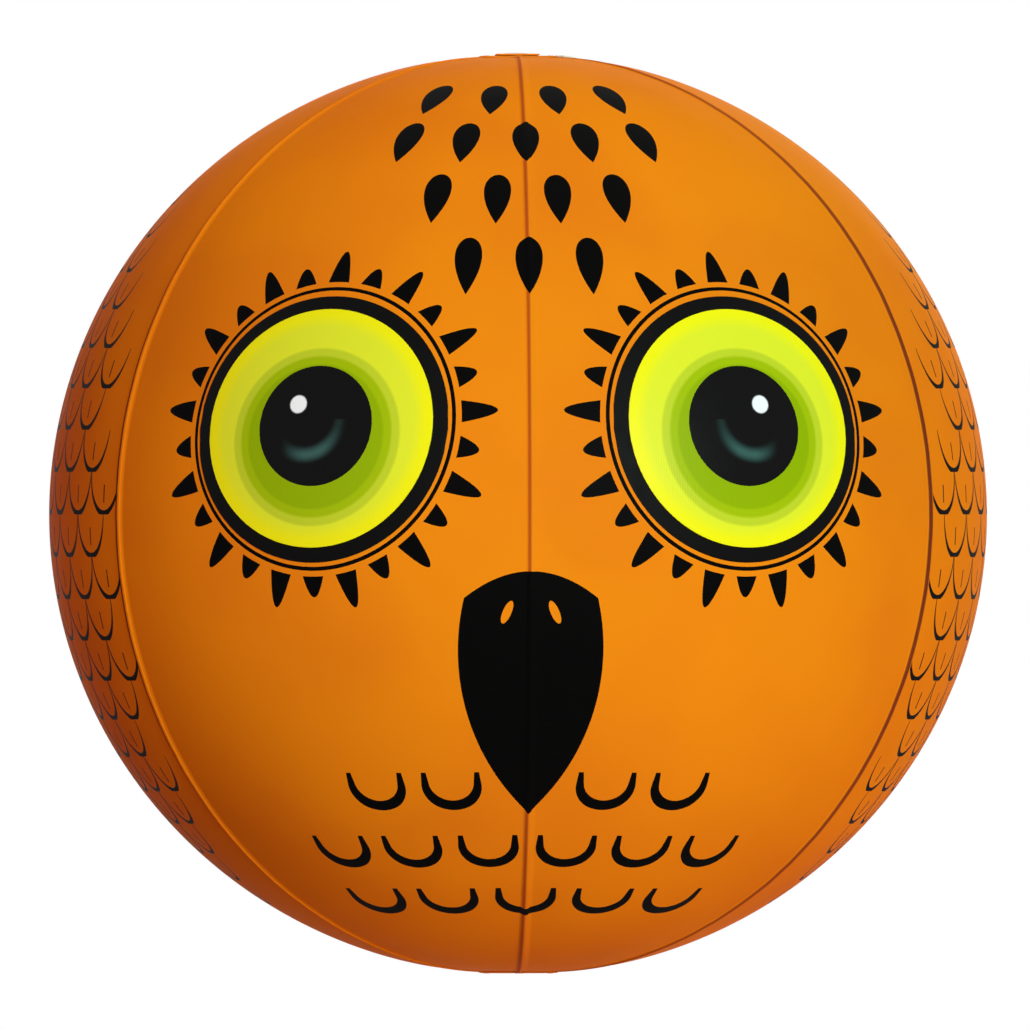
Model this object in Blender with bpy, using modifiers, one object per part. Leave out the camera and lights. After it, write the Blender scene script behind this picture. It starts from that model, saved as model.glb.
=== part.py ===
"""Inflatable bird scare balloon: six lapped vinyl gores with pole patches, a hang tab, a valve and lens eyes.

Metres, +Z up. The origin is the centre of the ball, and the eyes look along -Y.
An azimuth is counted from the front towards +X, and a lift from the equator towards +Z.
"""

import math

import bmesh
import bpy
from mathutils import Matrix, Vector

# The inflated ball, over its skin
BALL_WIDTH = 0.610
BALL_HEIGHT = 0.599
FILM = 0.0004
GORE_COUNT = 6
SEAM_DIP = 0.002
POLE_DIMPLE = 0.0025
POLE_DIMPLE_RADIUS = 0.040

# The running gap between two pieces that lie on each other
GAP = 0.0003

# The welded lap of one gore over the next, and the open tips under the pole patches
LAP_WIDTH = 0.004
LAP_RAMP = 0.001
GORE_TIP_RADIUS = 0.012
PATCH_RADIUS = 0.028
PATCH_THICKNESS = 0.0005

# The eyes, as lens sheet over printed backing
EYE_AZIMUTH = math.radians(27.5)
EYE_LIFT = math.radians(11.0)
EYE_BACKING_RADIUS = 0.090
EYE_BACKING_THICKNESS = 0.0003
EYE_LENS_RADIUS = 0.080
EYE_LENS_THICKNESS = 0.0008

# The hang tab and its eyelet
TAB_WIDTH = 0.028
TAB_THICKNESS = 0.0008
TAB_BASE_DEPTH = 0.014
TAB_REACH = 0.036
TAB_CORNER = 0.003
FOLD_GAP = 0.0008
FOLD_RISE = 0.00015
EYELET_BORE_RADIUS = 0.00475
EYELET_WALL = 0.0005
EYELET_FLANGE_RADIUS = 0.0085
EYELET_FLANGE_THICKNESS = 0.0007
EYELET_FLANGE_ROUND = 0.0002
WASHER_RADIUS = 0.0080
WASHER_THICKNESS = 0.0005
EYELET_CURL_RADIUS = 0.0066
EYELET_CURL_THICKNESS = 0.0004

# The valve: a flanged sleeve in the skin, and the stem that slides in it
VALVE_AZIMUTH = math.radians(150.0)
VALVE_TAB_CLEARANCE = 0.004
VALVE_FLANGE_RADIUS = 0.015
VALVE_FLANGE_THICKNESS = 0.0010
VALVE_FLANGE_TAPER = 0.0035
FLANGE_RIB_HEIGHT = 0.0003
FLANGE_RIB_WIDTH = 0.0008
SLEEVE_WALL = 0.0012
SLEEVE_DEPTH = 0.0009
STEM_WALL = 0.0013
STEM_LENGTH = 0.016
STEM_BORE_RADIUS = 0.0026
STEM_STOP_WIDTH = 0.0010
STEM_STOP_HEIGHT = 0.0018
STEM_STOP_LAND = 0.0006
LIP_ROUND = 0.0003
LIP_RADIUS = 0.0080
LIP_THICKNESS = 0.0010

# The stopper, its strap and the flap inside the stem
PLUG_RADIUS = 0.0041
PLUG_TIP_RADIUS = 0.0024
PLUG_LENGTH = 0.0070
CAP_RADIUS = 0.0075
CAP_THICKNESS = 0.0015
CAP_ROUND = 0.0005
LUG_REACH = 0.0035
LUG_WIDTH = 0.0060
ARM_WIDTH = 0.0040
ARM_THICKNESS = 0.0008
STRAP_THICKNESS = 0.0008
HINGE_REACH = 0.0125
HINGE_SWING = 0.0013
KNUCKLE_LENGTH = 0.0020
CHECK_FLAP_RADIUS = 0.0042
CHECK_FLAP_THICKNESS = 0.0005
CHECK_FLAP_EAR = 0.0005
CHECK_FLAP_EAR_WIDTH = 0.0040

# How finely the curved forms are cut
GORE_ROWS = 26
GORE_PANELS = 8
ROW_CROWDING_SHARE = 0.3
DISC_TURNS = 36
PATCH_RINGS = 3
EYE_RINGS = 5
TURNED_STEPS = 32
SEAT_STEPS = 4
ARC_STEPS = 20
MERGE_DISTANCE = 0.00001
CUT_OVERRUN = 0.004
SHARP_ANGLE = math.radians(35.0)

# Values that follow from the sizes above
SKIN_HALF_WIDTH = BALL_WIDTH / 2 - FILM
SKIN_HALF_HEIGHT = BALL_HEIGHT / 2 - FILM
LAP_RISE = FILM + GAP
LAP_TOP = LAP_RISE + FILM
GORE_ANGLE = math.tau / GORE_COUNT
STEM_RADIUS = PLUG_RADIUS + GAP + STEM_WALL
SLEEVE_RADIUS = STEM_RADIUS + GAP + SLEEVE_WALL
FLANGE_TOP = FILM + GAP + VALVE_FLANGE_THICKNESS
STRAP_LOW = FLANGE_TOP + GAP
LIP_LOW = STRAP_LOW + STRAP_THICKNESS + GAP
STEM_TOP = LIP_LOW + LIP_THICKNESS
STEM_END = STEM_TOP - STEM_LENGTH
CAP_LOW = STEM_TOP + GAP
HINGE_HEIGHT = STEM_TOP + GAP / 2
VALVE_RING = (TAB_WIDTH / 2 + VALVE_TAB_CLEARANCE + VALVE_FLANGE_RADIUS) / math.sin(VALVE_AZIMUTH)

GORE_NAMES = (
    "gore_front_right",
    "gore_side_right",
    "gore_back_right",
    "gore_back_left",
    "gore_side_left",
    "gore_front_left",
)
VALVE_GORE = "gore_back_right"


def clear_scene():
    """Remove the objects that the file opened with."""
    for obj in list(bpy.data.objects):
        bpy.data.objects.remove(obj)


def new_collection(name):
    """A collection linked to the scene."""
    collection = bpy.data.collections.new(name)
    bpy.context.scene.collection.children.link(collection)
    return collection


def linear(level):
    """The linear value of a screen level from 0 to 255."""
    share = level / 255
    return share / 12.92 if share <= 0.04045 else ((share + 0.055) / 1.055) ** 2.4


def new_material(name, screen_rgb, roughness, metallic=0.0):
    """A Principled BSDF material of one screen colour."""
    material = bpy.data.materials.new(name)
    material.use_nodes = True
    shader = material.node_tree.nodes["Principled BSDF"]
    colour = [linear(level) for level in screen_rgb]
    shader.inputs["Base Color"].default_value = (*colour, 1.0)
    shader.inputs["Roughness"].default_value = roughness
    shader.inputs["Metallic"].default_value = metallic
    material.diffuse_color = (*colour, 1.0)
    return material


def finish(obj, material):
    """Give a piece its material and smooth shading with crisp corners."""
    obj.data.materials.append(material)
    obj.data.shade_smooth()
    obj.data.set_sharp_from_angle(angle=SHARP_ANGLE)
    return obj


def new_empty(name, collection, location, turn=None, parent=None):
    """An empty that carries pieces or marks a joint's axis."""
    empty = bpy.data.objects.new(name, None)
    collection.objects.link(empty)
    empty.parent = parent
    empty.location = location
    if turn is not None:
        empty.rotation_euler = turn.to_euler()
    return empty


def hide_tool(obj):
    """Mark an object as a tool shape, which is not a piece."""
    obj.hide_render = True
    obj.display_type = "WIRE"
    return obj


def combine(obj, tool, operation):
    """Join or cut a piece with a tool shape."""
    modifier = obj.modifiers.new(f"{operation.lower()} {tool.name}", "BOOLEAN")
    modifier.object = tool
    modifier.operation = operation
    modifier.solver = "EXACT"


# The skin's form
def skin_normal(azimuth, lift):
    """The outward direction of the skin."""
    across = math.cos(lift) / SKIN_HALF_WIDTH
    up = math.sin(lift) / SKIN_HALF_HEIGHT
    return Vector((across * math.sin(azimuth), -across * math.cos(azimuth), up)).normalized()


def skin_point(azimuth, lift, height=0.0):
    """A point at a height over the skin's inner face, which dips at the seams and flattens at the poles."""
    dip = SEAM_DIP * math.cos(GORE_COUNT * azimuth / 2) ** 4
    ring = (SKIN_HALF_WIDTH - dip) * math.cos(lift)
    dimple = POLE_DIMPLE * math.exp(-((ring / POLE_DIMPLE_RADIUS) ** 2))
    z = SKIN_HALF_HEIGHT * math.sin(lift) - math.copysign(dimple, lift)
    point = Vector((ring * math.sin(azimuth), -ring * math.cos(azimuth), z))
    return point + height * skin_normal(azimuth, lift)


def ring_lift(ring):
    """The lift at which the skin's ring has a given radius."""
    return math.acos(ring / SKIN_HALF_WIDTH)


def disc_angles(centre_azimuth, centre_lift, distance, turn):
    """The azimuth and lift of a point at a distance over the skin from a centre, turned from the right."""
    centre = Vector(
        (
            math.cos(centre_lift) * math.sin(centre_azimuth),
            -math.cos(centre_lift) * math.cos(centre_azimuth),
            math.sin(centre_lift),
        )
    )
    right = Vector((math.cos(centre_azimuth), math.sin(centre_azimuth), 0.0))
    up = centre.cross(right)
    reach = distance / SKIN_HALF_WIDTH
    sideways = right * math.cos(turn) + up * math.sin(turn)
    direction = centre * math.cos(reach) + sideways * math.sin(reach)
    return math.atan2(direction.x, -direction.y), math.asin(max(-1.0, min(1.0, direction.z)))


def bent_sheet(name, collection, columns, rows, place, thickness, material):
    """A grid bent by place(u, v), with u and v from 0 to 1, and thickened outwards into a sheet."""
    grid = bmesh.new()
    bmesh.ops.create_grid(grid, x_segments=columns, y_segments=rows, size=0.5)
    for vert in grid.verts:
        vert.co = place(vert.co.x + 0.5, vert.co.y + 0.5)
    bmesh.ops.remove_doubles(grid, verts=grid.verts, dist=MERGE_DISTANCE)
    mesh = bpy.data.meshes.new(name)
    grid.to_mesh(mesh)
    grid.free()
    obj = bpy.data.objects.new(name, mesh)
    collection.objects.link(obj)
    finish(obj, material)
    wall = obj.modifiers.new("film", "SOLIDIFY")
    wall.thickness = thickness
    wall.offset = 1.0
    return obj


# The gores
def gore_columns(start, lift):
    """The azimuth and height of each column of a gore at one lift, from its under edge to its over edge."""
    ring = SKIN_HALF_WIDTH * math.cos(lift)
    half_lap = LAP_WIDTH / 2 / ring
    ramp = LAP_RAMP / ring
    edge = GAP / ring
    end = start + GORE_ANGLE
    panel_start = start + half_lap
    panel_end = end - half_lap - ramp
    step = (panel_end - panel_start) / GORE_PANELS
    columns = [(start - half_lap + edge, 0.0)]
    columns += [(panel_start + step * index, 0.0) for index in range(GORE_PANELS + 1)]
    columns += [(end - half_lap, LAP_RISE), (end + half_lap, LAP_RISE)]
    return columns


def row_lift(share):
    """The lift of a gore's row, with the rows crowded towards the tips."""
    run = 2 * share - 1
    crowded = run * (1 + ROW_CROWDING_SHARE) - ROW_CROWDING_SHARE * run**3
    return ring_lift(GORE_TIP_RADIUS) * crowded


def make_gore(index, collection, material):
    """One of the gores, whose far edge laps over the next gore."""
    column_count = GORE_PANELS + 3

    def place(u, v):
        lift = row_lift(v)
        azimuth, height = gore_columns(index * GORE_ANGLE, lift)[round(u * column_count)]
        return skin_point(azimuth, lift, height)

    return bent_sheet(GORE_NAMES[index], collection, column_count, GORE_ROWS, place, FILM, material)


# The round sheets that lie on the skin
def make_patch(name, side, collection, material):
    """A reinforcing patch over the gore tips, at the crown (side 1) or the base (side -1)."""

    def place(u, v):
        lift = side * ring_lift(PATCH_RADIUS * v)
        return skin_point(-side * math.tau * u, lift, LAP_TOP + GAP)

    return bent_sheet(name, collection, DISC_TURNS, PATCH_RINGS, place, PATCH_THICKNESS, material)


def make_eye_disc(name, side, radius, height, thickness, collection, material):
    """A disc of an eye, bent to the skin at a height over its inner face."""

    def place(u, v):
        azimuth, lift = disc_angles(side * EYE_AZIMUTH, EYE_LIFT, radius * v, -math.tau * u)
        return skin_point(azimuth, lift, height)

    return bent_sheet(name, collection, DISC_TURNS, EYE_RINGS, place, thickness, material)


def make_eyes(collection, backing_material, lens_material):
    """Two eyes, each a printed backing on the skin and a lens sheet on the backing."""
    backing_height = FILM + GAP
    lens_height = backing_height + EYE_BACKING_THICKNESS + GAP
    for side, word in ((-1, "left"), (1, "right")):
        make_eye_disc(
            f"eye_backing_{word}", side, EYE_BACKING_RADIUS, backing_height,
            EYE_BACKING_THICKNESS, collection, backing_material,
        )
        make_eye_disc(
            f"eye_lens_{word}", side, EYE_LENS_RADIUS, lens_height,
            EYE_LENS_THICKNESS, collection, lens_material,
        )


# Turned, flat and block shapes
def settle(obj):
    """Turn a piece's modifiers into its mesh."""
    depsgraph = bpy.context.evaluated_depsgraph_get()
    mesh = bpy.data.meshes.new_from_object(obj.evaluated_get(depsgraph))
    obj.modifiers.clear()
    obj.data = mesh


def turned(name, profile, collection, material, parent=None, location=(0.0, 0.0, 0.0), ring=True):
    """A profile turned about Z: a closed ring section, or a profile that starts and ends on the axis."""
    count = len(profile)
    edges = [(index, index + 1) for index in range(count - 1)]
    if ring:
        edges.append((count - 1, 0))
    mesh = bpy.data.meshes.new(name)
    mesh.from_pydata([(radius, 0.0, z) for radius, z in profile], edges, [])
    obj = bpy.data.objects.new(name, mesh)
    collection.objects.link(obj)
    obj.parent = parent
    obj.location = location
    screw = obj.modifiers.new("turn", "SCREW")
    screw.axis = "Z"
    screw.angle = math.tau
    screw.steps = TURNED_STEPS
    screw.render_steps = TURNED_STEPS
    screw.use_merge_vertices = True
    screw.merge_threshold = MERGE_DISTANCE
    settle(obj)
    return finish(obj, material)


def block(name, low, high, collection, material=None, parent=None, location=(0.0, 0.0, 0.0)):
    """A box between two corners, given in the frame of its parent."""
    mesh = bpy.data.meshes.new(name)
    cube = bmesh.new()
    bmesh.ops.create_cube(cube, size=1.0)
    low = Vector(low)
    high = Vector(high)
    size = high - low
    for vert in cube.verts:
        vert.co = Vector([low[i] + (vert.co[i] + 0.5) * size[i] for i in range(3)])
    cube.to_mesh(mesh)
    cube.free()
    obj = bpy.data.objects.new(name, mesh)
    collection.objects.link(obj)
    obj.parent = parent
    obj.location = location
    if material is not None:
        obj.data.materials.append(material)
    return obj


def arc_points(centre, radius, start, end):
    """Points along an arc, both ends included."""
    turns = [start + (end - start) * index / ARC_STEPS for index in range(ARC_STEPS + 1)]
    return [(centre[0] + radius * math.cos(turn), centre[1] + radius * math.sin(turn)) for turn in turns]


def flat_plate(name, outlines, thickness, collection, material, location, parent=None):
    """A plate with its middle plane at its origin, from an outline and any holes."""
    curve = bpy.data.curves.new(name, "CURVE")
    curve.dimensions = "2D"
    curve.fill_mode = "BOTH"
    curve.extrude = thickness / 2
    for outline in outlines:
        spline = curve.splines.new("POLY")
        spline.points.add(len(outline) - 1)
        for point, (x, y) in zip(spline.points, outline):
            point.co = (x, y, 0.0, 1.0)
        spline.use_cyclic_u = True
    curve.materials.append(material)
    obj = bpy.data.objects.new(name, curve)
    collection.objects.link(obj)
    obj.parent = parent
    obj.location = location
    return obj


# The hang tab
def tab_low():
    """The height of the tab's lower face, which clears the crown patch and, under the eyelet, the skin."""
    crown_top = skin_point(0.0, ring_lift(0.0), LAP_TOP + GAP + PATCH_THICKNESS).z
    eyelet_ring = TAB_BASE_DEPTH / 2 + FOLD_GAP / 2 + TAB_REACH - EYELET_CURL_RADIUS
    skin_top = skin_point(math.pi, ring_lift(eyelet_ring), LAP_TOP).z
    return max(crown_top, skin_top + eyelet_underside()) + GAP


def eyelet_underside():
    """How far the eyelet stands below the tab's lower face."""
    return GAP + WASHER_THICKNESS + GAP + EYELET_CURL_THICKNESS


def rounded_rectangle(width, depth, corner):
    """The outline of a rectangle about its centre, with round corners."""
    points = []
    for number, (x, y) in enumerate(((1, 1), (-1, 1), (-1, -1), (1, -1))):
        centre = (x * (width / 2 - corner), y * (depth / 2 - corner))
        start = number * math.pi / 2
        points += arc_points(centre, corner, start, start + math.pi / 2)[:: ARC_STEPS // 4]
    return points


def make_hang_tab(collection, film_material, metal_material):
    """The tab at the crown: a welded strip, a flap that folds about its back edge, and the flap's eyelet."""
    low = tab_low()
    crown_top = skin_point(0.0, ring_lift(0.0), LAP_TOP + GAP + PATCH_THICKNESS).z
    strip_thickness = low + TAB_THICKNESS - crown_top - GAP
    flat_plate(
        "hang_tab_base",
        [rounded_rectangle(TAB_WIDTH, TAB_BASE_DEPTH, TAB_CORNER)],
        strip_thickness, collection, film_material,
        (0.0, 0.0, crown_top + GAP + strip_thickness / 2),
    )
    axis_y = TAB_BASE_DEPTH / 2 + FOLD_GAP / 2
    axis_z = low + TAB_THICKNESS + FOLD_RISE
    fold = new_empty("hang_tab_fold_axis", collection, (0.0, axis_y, axis_z))
    half = TAB_WIDTH / 2
    outline = arc_points((0.0, TAB_REACH), half, 0.0, math.pi)
    outline += [(-half, FOLD_GAP / 2), (half, FOLD_GAP / 2)]
    tube_radius = EYELET_BORE_RADIUS + EYELET_WALL
    hole = arc_points((0.0, TAB_REACH), tube_radius + GAP, 0.0, math.tau)[:-1]
    flat_plate(
        "hang_tab", [outline, hole], TAB_THICKNESS, collection, film_material,
        (0.0, 0.0, -FOLD_RISE - TAB_THICKNESS / 2), parent=fold,
    )
    make_eyelet(fold, tube_radius, collection, metal_material)
    return fold


def make_eyelet(fold, tube_radius, collection, material):
    """The barrel through the tab, curled over its washer. Heights are counted from the tab's upper face."""
    place = (0.0, TAB_REACH, -FOLD_RISE)
    flange_low = GAP
    flange_top = flange_low + EYELET_FLANGE_THICKNESS
    washer_top = -TAB_THICKNESS - GAP
    washer_low = washer_top - WASHER_THICKNESS
    curl_top = washer_low - GAP
    curl_low = curl_top - EYELET_CURL_THICKNESS
    barrel = [
        (EYELET_BORE_RADIUS + EYELET_FLANGE_ROUND, flange_top),
        (EYELET_FLANGE_RADIUS - EYELET_FLANGE_ROUND, flange_top),
        (EYELET_FLANGE_RADIUS, flange_top - EYELET_FLANGE_ROUND),
        (EYELET_FLANGE_RADIUS, flange_low),
        (tube_radius, flange_low),
        (tube_radius, curl_top),
        (EYELET_CURL_RADIUS, curl_top),
        (EYELET_CURL_RADIUS, curl_low),
        (EYELET_BORE_RADIUS, curl_low),
        (EYELET_BORE_RADIUS, flange_top - EYELET_FLANGE_ROUND),
    ]
    washer = [
        (tube_radius + GAP, washer_top),
        (WASHER_RADIUS, washer_top),
        (WASHER_RADIUS, washer_low),
        (tube_radius + GAP, washer_low),
    ]
    turned("eyelet_barrel", barrel, collection, material, parent=fold, location=place)
    turned("eyelet_washer", washer, collection, material, parent=fold, location=place)


# The valve
def valve_place():
    """The valve's point on the skin's inner face, and its turn: +Z out of the skin, +X off the crown."""
    lift = ring_lift(VALVE_RING)
    out = skin_normal(VALVE_AZIMUTH, lift)
    away = Vector((math.sin(VALVE_AZIMUTH), -math.cos(VALVE_AZIMUTH), 0.0))
    away = (away - out * away.dot(out)).normalized()
    side = out.cross(away)
    turn = Matrix((away, side, out)).transposed()
    return skin_point(VALVE_AZIMUTH, lift), turn


def sag(radius):
    """How far the skin falls away at a radius from the valve's axis."""
    return radius * radius / BALL_WIDTH


def make_valve_flange(frame, collection, material):
    """The collar on the skin, with the sleeve that guides the stem."""
    bore = STEM_RADIUS + GAP
    seat = FILM + GAP
    land = VALVE_FLANGE_RADIUS - VALVE_FLANGE_TAPER
    rib = land - FLANGE_RIB_WIDTH
    rim_low = seat - sag(VALVE_FLANGE_RADIUS)
    profile = [
        (bore, FLANGE_TOP),
        (rib, FLANGE_TOP),
        (rib, FLANGE_TOP + FLANGE_RIB_HEIGHT),
        (land, FLANGE_TOP + FLANGE_RIB_HEIGHT),
        (VALVE_FLANGE_RADIUS, rim_low + VALVE_FLANGE_THICKNESS / 2),
        (VALVE_FLANGE_RADIUS, rim_low),
        (land, seat - sag(land)),
        (SLEEVE_RADIUS, seat - sag(SLEEVE_RADIUS)),
        (SLEEVE_RADIUS, -SLEEVE_DEPTH),
        (bore, -SLEEVE_DEPTH),
    ]
    return turned("valve_flange", profile, collection, material, parent=frame)


def cut_valve_hole(frame, gore, cutters):
    """Cut the sleeve's hole in the gore."""
    radius = SLEEVE_RADIUS + GAP
    profile = [(0.0, CUT_OVERRUN), (radius, CUT_OVERRUN), (radius, -CUT_OVERRUN), (0.0, -CUT_OVERRUN)]
    tool = turned("valve_hole_tool", profile, cutters, gore.data.materials[0], parent=frame, ring=False)
    combine(gore, hide_tool(tool), "DIFFERENCE")


def plug_radius(depth):
    """The plug's radius at a depth below its top."""
    share = depth / (PLUG_LENGTH + GAP)
    return PLUG_RADIUS + (PLUG_TIP_RADIUS - PLUG_RADIUS) * share


def seat_radius(depth):
    """The bore's radius at a depth below the stem's top, so that the plug clears it as it swings out."""
    below_axis = HINGE_HEIGHT - STEM_TOP + depth
    widest = 0.0
    for index in range(SEAT_STEPS * SEAT_STEPS + 1):
        plug_depth = (PLUG_LENGTH + GAP) * index / (SEAT_STEPS * SEAT_STEPS)
        below = HINGE_HEIGHT - CAP_LOW + plug_depth
        if below >= below_axis:
            swing = math.hypot(HINGE_REACH + plug_radius(plug_depth), below)
            widest = max(widest, math.sqrt(swing**2 - below_axis**2))
    return max(widest - HINGE_REACH, plug_radius(depth + GAP)) + GAP


def make_valve_stem(frame, collection, material):
    """The sliding tube: a lip, a seat shaped to the plug's swing, an air passage and a stop at its end."""
    bore_top = STEM_TOP - PLUG_LENGTH - GAP
    seat = []
    for index in range(SEAT_STEPS + 1):
        depth = PLUG_LENGTH * index / SEAT_STEPS
        seat.append((seat_radius(depth), STEM_TOP - depth))
    stop_top = STEM_END + STEM_STOP_HEIGHT
    outside = [
        (LIP_RADIUS - LIP_ROUND, STEM_TOP),
        (LIP_RADIUS, STEM_TOP - LIP_ROUND),
        (LIP_RADIUS, LIP_LOW),
        (STEM_RADIUS, LIP_LOW),
        (STEM_RADIUS, stop_top),
        (STEM_RADIUS + STEM_STOP_WIDTH, stop_top),
        (STEM_RADIUS + STEM_STOP_WIDTH, stop_top - STEM_STOP_LAND),
        (STEM_RADIUS, STEM_END),
    ]
    inside = [(STEM_BORE_RADIUS, STEM_END), (STEM_BORE_RADIUS, bore_top)]
    profile = outside + inside + seat[::-1]
    return turned("valve_stem", profile, collection, material, parent=frame)


def make_stopper_strap(frame, collection, cutters, material):
    """The strap: a ring round the stem's neck, a tongue over the flange and a knuckle at the fold."""
    inner = STEM_RADIUS + GAP
    top = STRAP_LOW + STRAP_THICKNESS
    ring = [(inner, top), (LIP_RADIUS, top), (LIP_RADIUS, STRAP_LOW), (inner, STRAP_LOW)]
    strap = turned("stopper_strap", ring, collection, material, parent=frame)
    half = ARM_WIDTH / 2
    tongue = block(
        "strap_tongue_tool", ((inner + LIP_RADIUS) / 2, -half, STRAP_LOW),
        (HINGE_REACH, half, top), cutters, parent=frame,
    )
    knuckle = block(
        "strap_knuckle_tool", (HINGE_REACH - KNUCKLE_LENGTH, -half, STRAP_LOW),
        (HINGE_REACH, half, STEM_TOP), cutters, parent=frame,
    )
    combine(strap, hide_tool(tongue), "UNION")
    combine(strap, hide_tool(knuckle), "UNION")
    return strap


def make_stopper(frame, collection, cutters, material):
    """The plug and cap, with an arm to the knuckle and a lug to pull. Its parent is on the fold's axis."""
    fold = new_empty("stopper_fold_axis", collection, (HINGE_REACH, 0.0, HINGE_HEIGHT), parent=frame)
    low = CAP_LOW - HINGE_HEIGHT
    cap_top = low + CAP_THICKNESS
    tip = low - PLUG_LENGTH - GAP
    profile = [
        (0.0, cap_top),
        (CAP_RADIUS - CAP_ROUND, cap_top),
        (CAP_RADIUS, cap_top - CAP_ROUND),
        (CAP_RADIUS, low),
        (PLUG_RADIUS, low),
        (PLUG_TIP_RADIUS, tip),
        (0.0, tip),
    ]
    place = (-HINGE_REACH, 0.0, 0.0)
    stopper = turned(
        "valve_stopper", profile, collection, material, parent=fold, location=place, ring=False
    )
    half = ARM_WIDTH / 2
    arm = block(
        "stopper_arm_tool", (PLUG_RADIUS, -half, low),
        (HINGE_REACH - HINGE_SWING, half, low + ARM_THICKNESS),
        cutters, parent=fold, location=place,
    )
    half = LUG_WIDTH / 2
    lug = block(
        "stopper_lug_tool", (-CAP_RADIUS - LUG_REACH, -half, low), (-PLUG_RADIUS, half, low + ARM_THICKNESS),
        cutters, parent=fold, location=place,
    )
    combine(stopper, hide_tool(arm), "UNION")
    combine(stopper, hide_tool(lug), "UNION")
    return fold


def make_check_flap(frame, collection, cutters, material):
    """The flap that closes the stem's inner end. Its parent is on the hinge's axis."""
    reach = CHECK_FLAP_RADIUS + CHECK_FLAP_EAR
    hinge = new_empty("check_flap_axis", collection, (-reach, 0.0, STEM_END - GAP / 2), parent=frame)
    top = -GAP / 2
    low = top - CHECK_FLAP_THICKNESS
    profile = [(0.0, top), (CHECK_FLAP_RADIUS, top), (CHECK_FLAP_RADIUS, low), (0.0, low)]
    place = (reach, 0.0, 0.0)
    flap = turned(
        "valve_check_flap", profile, collection, material, parent=hinge, location=place, ring=False
    )
    half = CHECK_FLAP_EAR_WIDTH / 2
    ear = block(
        "check_ear_tool", (-reach + GAP / 2, -half, low), (-CHECK_FLAP_RADIUS / 2, half, top),
        cutters, parent=hinge, location=place,
    )
    combine(flap, hide_tool(ear), "UNION")
    return hinge


def stem_travel():
    """How far the stem slides out before its stop meets the sleeve."""
    return -SLEEVE_DEPTH - (STEM_END + STEM_STOP_HEIGHT) - GAP


def say_joint(name, marker, axis):
    """Print where a joint's axis lies in the part's frame."""
    matrix = marker.matrix_world
    direction = (matrix.to_3x3() @ Vector(axis)).normalized()
    place = [round(value, 6) for value in matrix.translation]
    print(name, place, [round(value, 6) for value in direction])


def main():
    """Build every piece."""
    clear_scene()
    pieces = new_collection("bird_scare_balloon")
    cutters = new_collection("cutters")
    orange = new_material("orange_vinyl", (236, 140, 12), 0.32)
    dark_print = new_material("eye_backing_print", (14, 13, 12), 0.45)
    lens = new_material("eye_lens_sheet", (222, 234, 48), 0.16)
    milky = new_material("valve_vinyl", (226, 220, 204), 0.4)
    nickel = new_material("eyelet_nickel", (206, 203, 196), 0.3, 1.0)

    gores = [make_gore(index, pieces, orange) for index in range(GORE_COUNT)]
    make_patch("crown_patch", 1, pieces, orange)
    make_patch("base_patch", -1, pieces, orange)
    make_eyes(pieces, dark_print, lens)
    tab_fold = make_hang_tab(pieces, orange, nickel)

    point, turn = valve_place()
    frame = new_empty("valve_axis", pieces, point, turn)
    make_valve_flange(frame, pieces, milky)
    cut_valve_hole(frame, gores[GORE_NAMES.index(VALVE_GORE)], cutters)
    make_valve_stem(frame, pieces, milky)
    make_stopper_strap(frame, pieces, cutters, milky)
    stopper_fold = make_stopper(frame, pieces, cutters, milky)
    check_hinge = make_check_flap(frame, pieces, cutters, milky)

    bpy.context.view_layer.update()
    say_joint("hang_tab_fold", tab_fold, (1.0, 0.0, 0.0))
    say_joint("valve_pop_out", frame, (0.0, 0.0, 1.0))
    say_joint("stopper_flip", stopper_fold, (0.0, 1.0, 0.0))
    say_joint("check_flap_swing", check_hinge, (0.0, 1.0, 0.0))
    print("stem travel", round(stem_travel(), 6))


main()
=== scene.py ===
# %% [markdown]
# # An inflated bird scare balloon
#
# The real thing is a ball of orange vinyl film, 610 mm across. Six gores are
# lapped and welded edge to edge, round patches cover their tips, and two big
# eyes with a ribbed lens look forwards. A tab with a metal eyelet carries the
# ball, and a valve with a tethered stopper lets the air in. This file dresses
# the solids with finer pieces, finishes, light and a camera.

import math

import bmesh
import bpy
from mathutils import Matrix, Vector


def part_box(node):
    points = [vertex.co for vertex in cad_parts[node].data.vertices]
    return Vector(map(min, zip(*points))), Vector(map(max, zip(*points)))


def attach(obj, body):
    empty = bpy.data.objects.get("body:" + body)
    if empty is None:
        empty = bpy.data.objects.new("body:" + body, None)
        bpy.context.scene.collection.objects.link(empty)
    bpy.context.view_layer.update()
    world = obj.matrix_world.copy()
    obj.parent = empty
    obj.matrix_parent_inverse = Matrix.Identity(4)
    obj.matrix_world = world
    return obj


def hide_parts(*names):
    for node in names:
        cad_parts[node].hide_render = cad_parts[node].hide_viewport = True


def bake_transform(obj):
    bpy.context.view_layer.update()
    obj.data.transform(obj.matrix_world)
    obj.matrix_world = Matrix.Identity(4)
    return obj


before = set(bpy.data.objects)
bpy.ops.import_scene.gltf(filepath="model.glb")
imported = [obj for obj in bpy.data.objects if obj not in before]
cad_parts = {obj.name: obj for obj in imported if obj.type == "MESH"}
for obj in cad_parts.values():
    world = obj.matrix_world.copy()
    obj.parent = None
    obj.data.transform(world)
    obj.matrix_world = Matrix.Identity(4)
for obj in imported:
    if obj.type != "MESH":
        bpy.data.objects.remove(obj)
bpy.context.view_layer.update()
SCENE = bpy.context.scene

# %% [markdown]
# ## The sizes that everything shares
#
# The solids were made from a few named sizes. The same values stand here, so
# that each finer piece lands where its solid is. An azimuth is counted from
# the front (-Y) towards +X, and a lift from the equator towards +Z.

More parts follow.
